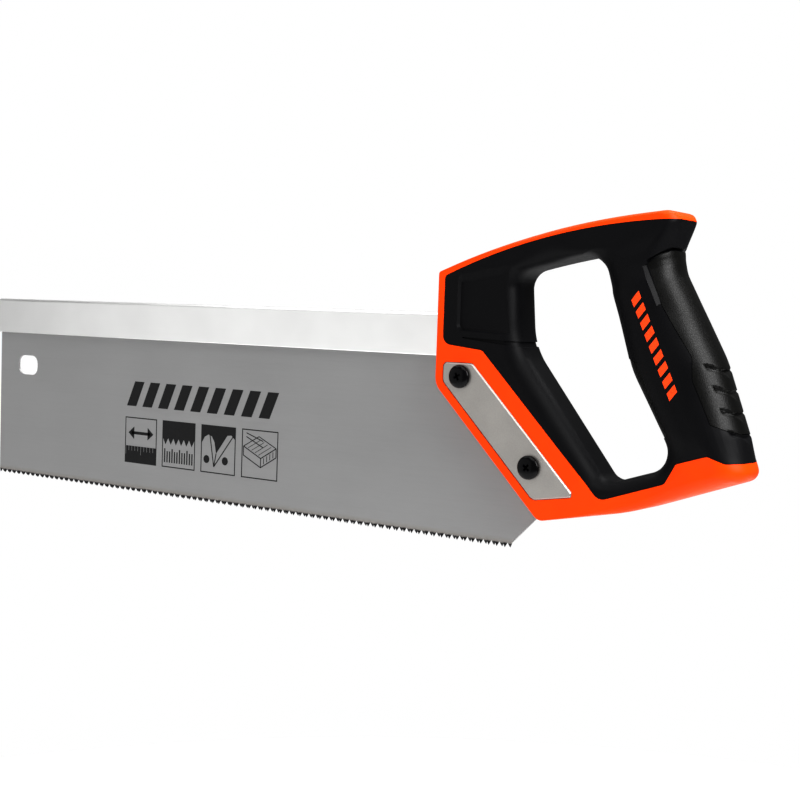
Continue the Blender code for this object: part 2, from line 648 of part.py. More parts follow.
def shade(piece):
    """Smooth shading with the corners kept sharp."""
    piece.data.shade_smooth()
    piece.data.set_sharp_from_angle(angle=SMOOTH_ANGLE)


def main():
    for old in list(bpy.data.objects):
        bpy.data.objects.remove(old)
    scene_collection = bpy.context.scene.collection
    parts = bpy.data.collections.new("back_saw")
    cutters = bpy.data.collections.new("back_saw_cutters")
    scene_collection.children.link(parts)
    scene_collection.children.link(cutters)
    carrier = bpy.data.objects.new("grip_centre", None)
    carrier.location = (-GRIP * MM, 0, -GRIP_HEIGHT * MM)
    parts.objects.link(carrier)

    make_blade(parts, cutters)
    make_back(parts)
    palm, palm_room = make_skin("palm_pad", PALM_ZONE, parts, cutters)
    finger, finger_room = make_skin("finger_pad", FINGER_ZONE, parts, cutters)
    dress(palm, (0.02, 0.02, 0.02), 0.75)
    dress(finger, (0.02, 0.02, 0.02), 0.75)
    make_core(parts, cutters)
    make_overmould(parts, cutters, (palm_room, finger_room))
    make_plate("left", -1, SHANK_DIAMETER / 2 + CLEARANCE, parts, cutters)
    make_plate("right", 1, BARREL_DIAMETER / 2 + CLEARANCE, parts, cutters)
    for place, centre in SCREWS.items():
        make_screw(place, centre, parts, cutters)
        make_nut(place, centre, parts)
    for piece in parts.objects:
        if piece.type == "MESH":
            shade(piece)


main()
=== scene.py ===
"""Looks of a back saw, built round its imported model.

Sizes are millimetres in the saw's own frame: +X runs from the toe end of the tooth line to the
handle, +Y from the left cheek to the right one, +Z from the teeth to the back. Each piece is
modelled there and then put into metres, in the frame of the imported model.
"""

import logging
from dataclasses import dataclass
from enum import Enum
from math import atan2, ceil, cos, exp, pi, radians, sin, sqrt, tan
from typing import Any, Callable, NamedTuple, Sequence

import bmesh
import bpy
from bpy.types import Node, NodeSocket, NodeTree, Object
from mathutils import Matrix, Vector


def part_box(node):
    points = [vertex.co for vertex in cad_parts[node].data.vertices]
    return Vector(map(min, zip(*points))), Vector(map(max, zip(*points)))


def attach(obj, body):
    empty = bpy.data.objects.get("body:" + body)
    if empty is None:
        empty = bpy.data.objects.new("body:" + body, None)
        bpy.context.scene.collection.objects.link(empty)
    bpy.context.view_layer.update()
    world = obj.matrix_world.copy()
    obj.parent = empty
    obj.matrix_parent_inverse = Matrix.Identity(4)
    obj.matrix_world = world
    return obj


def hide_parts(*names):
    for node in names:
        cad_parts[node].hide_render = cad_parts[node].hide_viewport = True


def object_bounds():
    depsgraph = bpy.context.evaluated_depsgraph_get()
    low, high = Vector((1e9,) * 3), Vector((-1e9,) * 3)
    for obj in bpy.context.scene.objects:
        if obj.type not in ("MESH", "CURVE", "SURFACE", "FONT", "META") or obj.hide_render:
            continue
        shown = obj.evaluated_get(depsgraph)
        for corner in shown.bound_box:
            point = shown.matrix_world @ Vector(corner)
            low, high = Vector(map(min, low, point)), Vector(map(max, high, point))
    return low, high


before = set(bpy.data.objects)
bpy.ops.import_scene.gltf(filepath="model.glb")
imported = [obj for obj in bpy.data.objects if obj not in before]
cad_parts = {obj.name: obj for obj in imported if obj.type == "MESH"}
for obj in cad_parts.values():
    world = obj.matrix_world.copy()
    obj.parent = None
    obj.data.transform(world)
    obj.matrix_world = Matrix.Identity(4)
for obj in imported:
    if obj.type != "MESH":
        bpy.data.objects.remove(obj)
CAD_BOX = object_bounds()

LOG = logging.getLogger("back_saw")
MM = 0.001
BODY = "root"
BACK_TOP = 102.6  # from the tooth line to the top of the back
BACK_FOOT = 83.0
BACK_HALF = 3.0  # half the thickness of the back
BACK_END = 338.0  # inside the handle, from the toe end
HEEL = 355.6  # end of the tooth line
TANG_END = 382.0
SHANK = 2.5  # radius of a screw
BARREL = 4.0  # radius of a nut's barrel
ROOM = 0.3  # round a piece that sits in another
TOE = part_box("back_spine")[0].x
TOOTH_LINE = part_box("back_spine")[1].z - BACK_TOP * MM
TO_ROW = Matrix.Translation((TOE, 0, TOOTH_LINE)) @ Matrix.Scale(MM, 4)

BMesh = bmesh.types.BMesh
Point = Sequence[float]  # X and Z


# ---------------------------------------------------------------- materials


def linear(code: str) -> tuple[float, float, float, float]:
    """Turns an sRGB hex colour into linear light.

    Args:
        code: six hex digits after a hash sign.

    Returns:
        Red, green, blue and a full alpha.
    """
    shares = [int(code[i : i + 2], 16) / 255 for i in (1, 3, 5)]
    red, green, blue = (c / 12.92 if c <= 0.04045 else ((c + 0.055) / 1.055) ** 2.4 for c in shares)
    return red, green, blue, 1.0


def grain(millimetres: float) -> float:
    """Scale of a texture on Object coordinates whose features are this large."""
    return 1 / (millimetres * MM)


def add(tree: NodeTree, kind: str, inputs: dict[Any, Any], **settings: Any) -> Node:
    """Adds a node.

    Args:
        tree: the node tree it goes in.
        kind: the node's type after "ShaderNode".
        inputs: a socket to link, or a value to set, for each input by name or number.
        settings: the node's own settings.

    Returns:
        The new node.
    """
    node = tree.nodes.new("ShaderNode" + kind)
    for name, value in settings.items():
        setattr(node, name, value)
    for key, value in inputs.items():
        if isinstance(value, NodeSocket):
            tree.links.new(value, node.inputs[key])
        else:
            node.inputs[key].default_value = value
    return node


class Ramp(NamedTuple):
    """A pattern, the range of it that counts, and what the ends of that range turn into."""

    pattern: NodeSocket
    low: float
    high: float
    first: float
    last: float


class Relief(NamedTuple):
    """A pattern of heights, how strongly it shows and how deep it is in millimetres."""

    pattern: NodeSocket
    strength: float
    depth: float


@dataclass(frozen=True)
class Finish:
    """A surface: its common name, its colour and how rough it is."""

    name: str
    colour: str
    roughness: float
    metallic: float = 0.0
    specular: float = 0.5

    def material(self) -> bpy.types.Material:
        """The finish as a Blender material, made once."""
        made = bpy.data.materials.get(self.name)
        if made is not None:
            return made
        made = bpy.data.materials.new(self.name)
        made.use_nodes = True
        tree = made.node_tree
        shader = tree.nodes["Principled BSDF"]
        shader.inputs["Base Color"].default_value = linear(self.colour)
        shader.inputs["Roughness"].default_value = self.roughness
        shader.inputs["Metallic"].default_value = self.metallic
        shader.inputs["Specular IOR Level"].default_value = self.specular
        made.diffuse_color = linear(self.colour)
        self.draw(tree, shader, add(tree, "TexCoord", {}).outputs["Object"])
        return made

    def draw(self, tree: NodeTree, shader: Node, place: NodeSocket) -> None:
        """Adds the pattern that the real surface has.

        Args:
            tree: the material's nodes.
            shader: its Principled BSDF.
            place: Object coordinates.
        """
        raise NotImplementedError

    def react(
        self,
        tree: NodeTree,
        shader: Node,
        tone: Ramp,
        gloss: Ramp | None = None,
        relief: Relief | None = None,
    ) -> NodeSocket:
        """Lets patterns change the colour, the roughness and the height of the surface.

        Args:
            tree: the material's nodes.
            shader: its Principled BSDF.
            tone: what multiplies the colour.
            gloss: what is added to the roughness.
            relief: what raises the surface.

        Returns:
            The colour that the shader now has.
        """
        shares = []
        for ramp, base in ((tone, 0.0), (gloss, self.roughness)):
            if ramp is not None:
                span = {"Value": ramp.pattern, "From Min": ramp.low, "From Max": ramp.high}
                reach = {"To Min": base + ramp.first, "To Max": base + ramp.last}
                shares.append(add(tree, "MapRange", span | reach).outputs[0])
        sides = {0: 1.0, 6: linear(self.colour), 7: shares[0]}
        colour = add(tree, "Mix", sides, data_type="RGBA", blend_type="MULTIPLY").outputs[2]
        tree.links.new(colour, shader.inputs["Base Color"])
        if gloss is not None:
            tree.links.new(shares[1], shader.inputs["Roughness"])
        if relief is not None:
            shape = {"Height": relief.pattern, "Strength": relief.strength, "Distance": relief.depth * MM}
            tree.links.new(add(tree, "Bump", shape).outputs[0], shader.inputs["Normal"])
        return colour


@dataclass(frozen=True)
class GroundSteel(Finish):
    """Cold-rolled spring steel, ground along its length: a matt grey with faint streaks.

    The impulse-hardened teeth are blue-black, with a straw-coloured edge above them.
    """

    hardened: float = 2.0  # height of the dark band above the tooth line
    straw_height: float = 2.5  # of the straw colour above it
    streak: tuple[float, float] = (45.0, 1.1)  # length and height
    scratch: tuple[float, float] = (9.0, 0.35)  # drawn coarser than real ones, so that they show
    dark: str = "#1B1B1D"
    straw: str = "#83796C"

    def draw(self, tree: NodeTree, shader: Node, place: NodeSocket) -> None:
        """Streaks and scratches along X, and the hardened band by height."""
        lines = []
        for long, high in (self.streak, self.scratch):
            scale = (grain(long), grain(high), grain(high))
            drawn_out = add(tree, "Mapping", {"Vector": place, "Scale": scale}).outputs[0]
            noise = add(tree, "TexNoise", {"Vector": drawn_out, "Scale": 1.0, "Detail": 3.0})
            lines.append(noise.outputs[0])
        cloud = add(tree, "TexNoise", {"Vector": place, "Scale": grain(70), "Detail": 2.0}).outputs[0]
        both = add(tree, "Math", {0: lines[0], 1: lines[1]}, operation="ADD").outputs[0]
        mixed = add(tree, "Math", {0: both, 1: cloud}, operation="ADD").outputs[0]
        tone, gloss = Ramp(mixed, 1.0, 2.0, 0.93, 1.07), Ramp(both, 0.7, 1.3, -0.05, 0.07)
        colour = self.react(tree, shader, tone, gloss, Relief(lines[1], 0.12, 0.05))
        height = add(tree, "SeparateXYZ", {0: place}).outputs["Z"]
        ragged = add(tree, "TexNoise", {"Vector": place, "Scale": grain(2.2)}).outputs[0]
        wave, soft = 0.9 * MM, 0.35 * MM
        waved = add(tree, "Math", {0: ragged, 1: wave, 2: height}, operation="MULTIPLY_ADD").outputs[0]
        edge = TOOTH_LINE + self.hardened * MM + wave / 2
        for tint, low, high, strength in (
            (self.straw, edge, edge + self.straw_height * MM, 0.4),
            (self.dark, edge - soft, edge + soft, 1.0),
        ):
            reach = {"Value": waved, "From Min": low, "From Max": high, "To Min": strength, "To Max": 0.0}
            share = add(tree, "MapRange", reach).outputs[0]
            colour = add(tree, "Mix", {0: share, 6: colour, 7: linear(tint)}, data_type="RGBA").outputs[2]
        tree.links.new(colour, shader.inputs["Base Color"])


@dataclass(frozen=True)
class NickelPlate(Finish):
    """Nickel-plated steel strip, satin brushed along its length: bright, soft-edged reflections."""

    brush: tuple[float, float] = (30.0, 0.5)  # drawn coarser than the real brush lines

    def draw(self, tree: NodeTree, shader: Node, place: NodeSocket) -> None:
        """Brush lines along X in roughness and bump, and a faint cloudiness."""
        long, high = self.brush
        scale = (grain(long), grain(high), grain(high))
        drawn_out = add(tree, "Mapping", {"Vector": place, "Scale": scale}).outputs[0]
        lines = add(tree, "TexNoise", {"Vector": drawn_out, "Scale": 1.0, "Detail": 4.0}).outputs[0]
        cloud = add(tree, "TexNoise", {"Vector": place, "Scale": grain(25)}).outputs[0]
        gloss = Ramp(lines, 0.3, 0.7, -0.04, 0.06)
        self.react(tree, shader, Ramp(cloud, 0.3, 0.7, 0.97, 1.02), gloss, Relief(lines, 0.08, 0.03))


@dataclass(frozen=True)
class MouldedPlastic(Finish):
    """Injection-moulded plastic with a spark-eroded texture, which blurs its highlights."""

    pebble: float = 0.6  # drawn coarser than the real texture
    relief: float = 0.02
    strength: float = 0.2

    def draw(self, tree: NodeTree, shader: Node, place: NodeSocket) -> None:
        """Fine pebbles in the bump, and slow changes of gloss where hands and the mould touch it."""
        size = {"Vector": place, "Scale": grain(self.pebble), "Detail": 2.0}
        pebbles = add(tree, "TexNoise", size).outputs[0]
        flow = add(tree, "TexNoise", {"Vector": place, "Scale": grain(18), "Detail": 3.0}).outputs[0]
        tone, gloss = Ramp(flow, 0.25, 0.75, 0.92, 1.06), Ramp(flow, 0.3, 0.7, -0.05, 0.06)
        self.react(tree, shader, tone, gloss, Relief(pebbles, self.strength, self.relief))


@dataclass(frozen=True)
class GrainedRubber(Finish):
    """Thermoplastic rubber moulded with a leather grain: soft pebbles, with painted shade darkening the
    creases between them.
    """

    pebble: float = 0.8
    relief: float = 0.07

    def draw(self, tree: NodeTree, shader: Node, place: NodeSocket) -> None:
        """Cells of leather grain in bump and roughness, with painted shade darkening the colour in the
        creases.
        """
        wander = add(tree, "TexNoise", {"Vector": place, "Scale": grain(3.0)}).outputs["Color"]
        pushed = add(tree, "VectorMath", {0: wander, "Scale": 0.8 * MM}, operation="SCALE").outputs[0]
        moved = add(tree, "VectorMath", {0: place, 1: pushed}, operation="ADD").outputs[0]
        size = {"Vector": moved, "Scale": grain(self.pebble)}
        crease = add(tree, "TexVoronoi", size, feature="DISTANCE_TO_EDGE").outputs["Distance"]
        shares = {"Value": crease, "From Min": 0.0, "From Max": 0.28, "To Min": 0.0, "To Max": 1.0}
        domes = add(tree, "MapRange", shares, interpolation_type="SMOOTHSTEP").outputs[0]
        # painted shade: the colour is multiplied down to 0.55 in the creases between the pebbles, where
        # shade would fall
        tone, gloss = Ramp(domes, 0.0, 1.0, 0.55, 1.05), Ramp(domes, 0.0, 1.0, 0.12, 0.0)
        self.react(tree, shader, tone, gloss, Relief(domes, 0.2, self.relief))


@dataclass(frozen=True)
class BlastedAluminium(Finish):
    """Aluminium plate, bead-blasted and clear anodised: an even silver grey with a fine sparkle."""

    bead: float = 0.5  # drawn coarser than the real blasting

    def draw(self, tree: NodeTree, shader: Node, place: NodeSocket) -> None:
        """Small dents in bump and tone."""
        size = {"Vector": place, "Scale": grain(self.bead), "Detail": 3.0}
        dents = add(tree, "TexNoise", size).outputs[0]
        cloud = add(tree, "TexNoise", {"Vector": place, "Scale": grain(14), "Detail": 2.0}).outputs[0]
        mixed = add(tree, "Math", {0: dents, 1: cloud}, operation="ADD").outputs[0]
        tone, gloss = Ramp(mixed, 0.7, 1.3, 0.92, 1.06), Ramp(cloud, 0.3, 0.7, -0.04, 0.05)
        self.react(tree, shader, tone, gloss, Relief(dents, 0.2, 0.03))


@dataclass(frozen=True)
class PrintInk(Finish):
    """Pad-printed ink: an even film, a little thinner in specks."""

    def draw(self, tree: NodeTree, shader: Node, place: NodeSocket) -> None:
        """Specks of thinner ink."""
        specks = add(tree, "TexNoise", {"Vector": place, "Scale": grain(0.8), "Detail": 2.0}).outputs[0]
        self.react(tree, shader, Ramp(specks, 0.3, 0.75, 0.85, 1.25))


BLADE_STEEL = GroundSteel("ground_spring_steel", "#959595", 0.5, metallic=0.8)
BACK_NICKEL = NickelPlate("satin_nickel_plate", "#F0F0EF", 0.38, metallic=1.0)
ORANGE = MouldedPlastic("orange_polypropylene", "#F04200", 0.42, specular=0.1)
SKIN_BLACK = MouldedPlastic(
    "black_soft_touch_skin", "#08080A", 0.48, specular=0.1, relief=0.04, strength=0.3
)
PAD_BLACK = GrainedRubber("grained_black_rubber", "#070706", 0.3, specular=0.17)
PLATE_SILVER = BlastedAluminium("blasted_aluminium", "#A4A19D", 0.4, metallic=0.9)
SCREW_BLACK = MouldedPlastic(
    "black_oxide_steel", "#050506", 0.18, specular=0.14, relief=0.01, strength=0.05
)
BLACK_INK = PrintInk("black_blade_ink", "#141415", 0.55, specular=0.2)
ORANGE_INK = PrintInk("orange_grip_ink", "#F0450C", 0.5, specular=0.2)


# ---------------------------------------------------------------- outlines


class Corner(NamedTuple):
    """A corner of an outline in the XZ plane, rounded to a radius."""

    x: float
    z: float
    radius: float = 0.0


def at(corner: Corner) -> Vector:
    """A corner's own point."""
    return Vector((corner.x, corner.z))


def between(first: Corner, last: Corner, share: float) -> Corner:
    """A plain corner on the straight line between two corners."""
    point = at(first).lerp(at(last), share)
    return Corner(point.x, point.y)


def fillets(corners: Sequence[Corner], tolerance: float = 0.02) -> list[list[Vector]]:
    """Draws each corner of a closed outline as an arc.

    Args:
        corners: the outline's corners, in order.
        tolerance: how far an arc's chords may stand off the true arc.

    Returns:
        The points of each corner, with radii limited by the edges between the corners.
    """
    count = len(corners)
    turns, reaches = [], []
    for i, corner in enumerate(corners):
        inward = (at(corner) - at(corners[i - 1])).normalized()
        onward = (at(corners[(i + 1) % count]) - at(corner)).normalized()
        turns.append(atan2(inward.cross(onward), inward.dot(onward)))
        reaches.append(corner.radius * tan(abs(turns[i]) / 2))
    scales = [1.0] * count
    for i in range(count):
        after = (i + 1) % count
        edge = (at(corners[after]) - at(corners[i])).length
        wanted = reaches[i] + reaches[after]
        if wanted > 0.98 * edge:
            scales[i] = min(scales[i], 0.98 * edge / wanted)
            scales[after] = min(scales[after], 0.98 * edge / wanted)
    rounded = []
    for i, corner in enumerate(corners):
        here, turn = at(corner), turns[i]
        if corner.radius == 0 or abs(turn) < 1e-3:
            rounded.append([here])
            continue
        inward = (here - at(corners[i - 1])).normalized()
        reach = reaches[i] * scales[i]
        radius = reach / tan(abs(turn) / 2)
        spoke = Vector((inward.y, -inward.x)) * (radius if turn > 0 else -radius)
        centre = here - inward * reach - spoke
        steps = 2 * max(2, ceil(abs(turn) / sqrt(8 * min(tolerance, radius / 4) / radius) / 2))
        rounded.append([centre + Matrix.Rotation(turn * k / steps, 2) @ spoke for k in range(steps + 1)])
    return rounded


def outline(corners: Sequence[Corner], growth: float = 0.0, tolerance: float = 0.02) -> list[Vector]:
    """A closed outline as points, grown outwards by a distance along its normals."""
    points = [point for arc in fillets(corners, tolerance) for point in arc]
    if growth == 0:
        return points
    count = len(points)
    area = sum(points[i - 1].cross(points[i]) for i in range(count))
    side = 1 if area > 0 else -1
    grown = []
    for i, point in enumerate(points):
        before = (point - points[i - 1]).normalized()
        after = (points[(i + 1) % count] - point).normalized()
        normal = Vector((before.y + after.y, -before.x - after.x)).normalized() * side
        lean = normal.dot(Vector((before.y, -before.x)) * side)
        grown.append(point + normal * growth / lean)
    return grown


def circle(centre: Vector, radius: float, steps: int = 64) -> list[Vector]:
    """Points of a circle in the XZ plane."""
    angles = [2 * pi * i / steps for i in range(steps)]
    return [centre + radius * Vector((cos(angle), sin(angle))) for angle in angles]


# ---------------------------------------------------------------- meshes


class Cut(Enum):
    """How one solid acts on another."""

    AWAY = "DIFFERENCE"
    KEEP = "INTERSECT"
    JOIN = "UNION"


def slab(bm: BMesh, points: Sequence[Point], start: float, end: float) -> list[bmesh.types.BMVert]:
    """Adds a flat shape in the XZ plane and makes it thick along Y.

    Args:
        bm: the mesh that it is added to.
        points: the shape's corners, in order.
        start: Y of its first face.
        end: Y of its far face.

    Returns:
        The vertices of the far face.
    """
    face = bm.faces.new([bm.verts.new((x, start, z)) for x, z in points])
    made = bmesh.ops.extrude_face_region(bm, geom=[face])["geom"]
    lifted = [item for item in made if isinstance(item, bmesh.types.BMVert)]
    bmesh.ops.translate(bm, vec=(0, end - start, 0), verts=lifted)
    return lifted


def prism(
    points: Sequence[Vector], low: float, high: float, far: Sequence[Vector] | None = None
) -> BMesh:
    """Extrudes a flat outline along Y.

    Args:
        points: the outline where it starts.
        low: Y where it starts.
        high: Y where it ends.
        far: the outline where it ends, if its walls slope.

    Returns:
        A closed solid.
    """
    bm = bmesh.new()
    places = {(round(p.x, 4), round(p.y, 4)): q for p, q in zip(points, far or points)}
    for vert in slab(bm, points, low, high):
        end = places[(round(vert.co.x, 4), round(vert.co.z, 4))]
        vert.co = (end.x, high, end.y)
    bmesh.ops.recalc_face_normals(bm, faces=bm.faces)
    return bm


def turned(profile: Sequence[tuple[float, float]], centre: Vector, side: int, steps: int = 64) -> BMesh:
    """Spins a profile round an axis along Y.

    Args:
        profile: (radius, distance from the mid-plane) pairs, from the axis back to the axis.
        centre: where the axis crosses the XZ plane.
        side: -1 on the left of the saw, 1 on the right.
        steps: how many faces go round.

    Returns:
        A closed solid.
    """
    bm = bmesh.new()
    verts = [bm.verts.new((centre.x + radius, side * distance, centre.y)) for radius, distance in profile]
    edges = [bm.edges.new(pair) for pair in zip(verts, verts[1:])]
    geom, middle = verts + edges, (centre.x, 0, centre.y)
    bmesh.ops.spin(bm, geom=geom, cent=middle, axis=(0, 1, 0), angle=2 * pi, steps=steps, use_merge=True)
    bmesh.ops.remove_doubles(bm, verts=bm.verts, dist=1e-4)
    bmesh.ops.recalc_face_normals(bm, faces=bm.faces)
    return bm


def sweep(rings: Sequence[Sequence[Vector]], closed: bool) -> BMesh:
    """Wraps a grid round a row of stations, so that each of its rows is one closed section.

    Args:
        rings: the section's points at each station.
        closed: whether the last station joins the first; otherwise both ends are capped.

    Returns:
        A closed solid.
    """
    bm = bmesh.new()
    rows = list(rings) + (list(rings[:1]) if closed else [])
    bmesh.ops.create_grid(bm, x_segments=len(rows[0]), y_segments=len(rows) - 1, size=1)
    for vert, point in zip(bm.verts, (point for row in rows for point in [*row, row[0]])):
        vert.co = point
    bmesh.ops.remove_doubles(bm, verts=bm.verts, dist=1e-4)
    bmesh.ops.holes_fill(bm, edges=[edge for edge in bm.edges if edge.is_boundary], sides=0)
    bmesh.ops.recalc_face_normals(bm, faces=bm.faces)
    return bm


def break_edges(bm: BMesh, edges: Sequence[bmesh.types.BMEdge], offset: float, segments: int) -> None:
    """Bevels sharp edges by an offset in millimetres."""
    shape = {"offset": offset, "offset_type": "OFFSET", "segments": segments, "profile": 0.5}
    bmesh.ops.bevel(bm, geom=edges, affect="EDGES", material=-1, **shape)


def solid(name: str, bm: BMesh) -> Object:
    """Puts a bmesh, still in millimetres, into the scene as an object."""
    mesh = bpy.data.meshes.new(name)
    bm.to_mesh(mesh)
    bm.free()
    made = bpy.data.objects.new(name, mesh)
    bpy.context.scene.collection.objects.link(made)
    return made


def carve(body: Object, how: Cut, *tools: BMesh) -> None:
    """Cuts a body with tools, joins them to it, or keeps only what is inside them.

    Args:
        body: the object that changes.
        how: what each tool does to it.
        tools: closed solids, which are used up.
    """
    for tool in tools:
        knife = solid("tool", tool)
        boolean = body.modifiers.new("cut", "BOOLEAN")
        boolean.operation = how.value
        boolean.solver = "EXACT"
        boolean.object = knife
        settle(body)
        knife_mesh = knife.data
        bpy.data.objects.remove(knife)
        bpy.data.meshes.remove(knife_mesh)


def settle(body: Object) -> None:
    """Applies an object's modifiers to its mesh."""
    bpy.context.view_layer.update()
    graph = bpy.context.evaluated_depsgraph_get()
    old, new = body.data, bpy.data.meshes.new_from_object(body.evaluated_get(graph))
    body.modifiers.clear()
    body.data = new
    new.name = body.name
    bpy.data.meshes.remove(old)


def finish_piece(
    piece: Object, finish: Finish, slot: str, *replaced: str, sharp: float = radians(32)
) -> None:
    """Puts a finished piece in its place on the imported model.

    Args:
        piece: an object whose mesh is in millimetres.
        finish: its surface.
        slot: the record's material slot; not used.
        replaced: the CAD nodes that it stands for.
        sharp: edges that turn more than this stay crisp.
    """
    bm = bmesh.new()
    bm.from_mesh(piece.data)
    bmesh.ops.remove_doubles(bm, verts=bm.verts, dist=2e-3)
    bmesh.ops.dissolve_degenerate(bm, edges=bm.edges, dist=1e-3)
    bmesh.ops.transform(bm, matrix=TO_ROW, verts=bm.verts)
    bm.to_mesh(piece.data)
    bm.free()
    piece.data.materials.clear()
    piece.data.materials.append(finish.material())
    piece.data.shade_smooth()
    piece.data.set_sharp_from_angle(angle=sharp)
    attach(piece, BODY)
    if replaced:
        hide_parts(*replaced)
    LOG.info("%s: %d faces", piece.name, len(piece.data.polygons))


def dress_node(name: str, finish: Finish) -> None:
    """Gives a CAD node a better material."""
    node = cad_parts[name]
    node.data.materials.clear()
    node.data.materials.append(finish.material())
    LOG.info("%s keeps its CAD shape", name)


# ---------------------------------------------------------------- blade and back


@dataclass
class Ink:
    """Ink on the left face of the blade, drawn from one corner."""

    bm: BMesh
    x: float
    z: float
    face: float = 0.46  # just off the blade's face
    film: float = 0.03

    def mark(self, *points: Point) -> None:
        """Adds one flat shape, by its corners in order."""
        slab(self.bm, [(self.x + x, self.z + z) for x, z in points], -self.face, -self.face - self.film)

    def bar(self, start: Point, end: Point, wide: float) -> None:
        """Adds a straight line of a given width."""
        first, last = Vector(start), Vector(end)
        along = (last - first).normalized()
        across = Vector((-along.y, along.x)) * wide / 2
        self.mark(first - across, last - across, last + across, first + across)


@dataclass
class BladePrint:
    """Generic ink marks on the left face of the blade: a striped band over four pictograms."""

    left: float = 107.6
    foot: float = 15.6
    pitch: float = 28.75  # from one pictogram to the next
    wide: float = 24.4
    high: float = 24.9
    rule: float = 0.55  # width of the frame lines
    band_place: Point = (108.5, 46.6)
    band: Point = (109.5, 13.4)  # length and height of the striped band
    stripes: int = 9

    def frame_box(self, ink: Ink) -> None:
        """The square frame of one pictogram."""
        half, right, top = self.rule / 2, self.wide, self.high
        for level in (half, top - half):
            ink.bar((0, level), (right, level), self.rule)
        for side in (half, right - half):
            ink.bar((side, self.rule), (side, top - self.rule), self.rule)

    def striped_band(self, ink: Ink) -> None:
        """A row of slanted stripes."""
        length, top = self.band
        slant = top * 0.45
        pitch = (length - slant) / (self.stripes - 0.4)
        wide = pitch * 0.6
        for i in range(self.stripes):
            x = i * pitch
            ink.mark((x, 0), (x + wide, 0), (x + wide + slant, top), (x + slant, top))

    def length_sign(self, ink: Ink) -> None:
        """A double arrow over a dark ruler: the length of the blade."""
        level = self.high * 0.66
        ink.bar((5, level), (self.wide - 5, level), 1.6)
        for tip, way in ((2.6, 1), (self.wide - 2.6, -1)):
            root = tip + way * 4.4
            ink.mark(*[(tip, level), (root, level - 3.4), (root, level + 3.4)][::way])
        low, top, ticks, tick = self.rule, 9.2, 10, 0.28
        step = (self.wide - 2 * self.rule) / ticks
        for i in range(ticks):
            start, depth = self.rule + i * step, 4.6 if i % 5 == 0 else 2.6
            middle, end = start + tick, start + step
            for first, last, high in ((middle, end, top), (start, middle, top - depth)):
                ink.mark((first, low), (last, low), (last, high), (first, high))

    def tooth_sign(self, ink: Ink) -> None:
        """A dark tooth plate over a row of ticks: the number of teeth."""
        top, root, teeth, ticks = self.high - self.rule, 15.6, 6, 12
        left, right = self.rule, self.wide - self.rule
        step = (right - left) / teeth
        ink.mark((left, root), (right, root), (right, top), (left, top))
        for i in range(teeth):
            start = left + i * step
            ink.mark((start, root), (start + step / 2, root - 3.4), (start + step, root))
        gap = (right - left - 3) / (ticks - 1)
        for i in range(ticks):
            place = left + 1.5 + i * gap
            ink.bar((place, 2.6), (place, 8.6 if i % 3 else 10.0), 0.85)

    def point_sign(self, ink: Ink) -> None:
        """Two filed tooth points against a dark ground, with a dot for each face."""
        top, left, right = self.high - self.rule, self.rule, self.wide - self.rule
        tip, valley = (9.4, 3.4), (10.9, 10.4)
        near = (left, 15.5), (2.6, 18.6), (5.2, 19.9), (7.6, 19.2), (9.6, 16.2)
        far = (18.6, 20.3), (21.4, 20.6), (right, 18.6), (right, top), (left, top)
        ink.mark(*near, valley, *far)
        for start, end in (((6.3, 19.6), tip), (tip, valley), (tip, (22.4, 19.8))):
            ink.bar(start, end, 0.6)
        for middle in (4.1, 17.2):
            ink.mark(*circle(Vector((middle, 7.0)), 2.1, 20))

    def timber_sign(self, ink: Ink) -> None:
        """A block of timber and a round bar: what the saw cuts."""
        near, left, right, back = (Vector(p) for p in ((13, 6), (1.2, 11.4), (23.2, 11.8), (11.6, 17)))
        rise = Vector((0, 4.6))
        for first, last in ((left, near), (near, right)):
            ink.bar(first, last, 0.5)
            ink.bar(first + rise, last + rise, 0.5)
        for corner in (left, near, right):
            ink.bar(corner, corner + rise, 0.5)
        for end in (left, right):
            ink.bar(end + rise, back + rise, 0.45)
        for share in (0.2, 0.4, 0.6, 0.8):
            first = near.lerp(right, share) + Vector((0, 0.8))
            ink.bar(first, first + Vector((0, 3.0)), 0.4)
            start, end = left.lerp(near, share) + rise, back.lerp(right, share) + rise
            ink.bar(start.lerp(end, 0.08), start.lerp(end, 0.9), 0.3)
        for first, last in (((3.0, 21.0), (14.4, 16.2)), ((3.0, 22.92), (14.4, 19.4))):
            ink.bar(first, last, 0.5)

    def build(self) -> None:
        """Makes all the ink as one piece."""
        bm = bmesh.new()
        self.striped_band(Ink(bm, *self.band_place))
        for i, sign in enumerate((self.length_sign, self.tooth_sign, self.point_sign, self.timber_sign)):
            ink = Ink(bm, self.left + i * self.pitch, self.foot)
            self.frame_box(ink)
            sign(ink)
        bmesh.ops.recalc_face_normals(bm, faces=bm.faces)
        finish_piece(solid("blade_print", bm), BLACK_INK, "blade_steel")


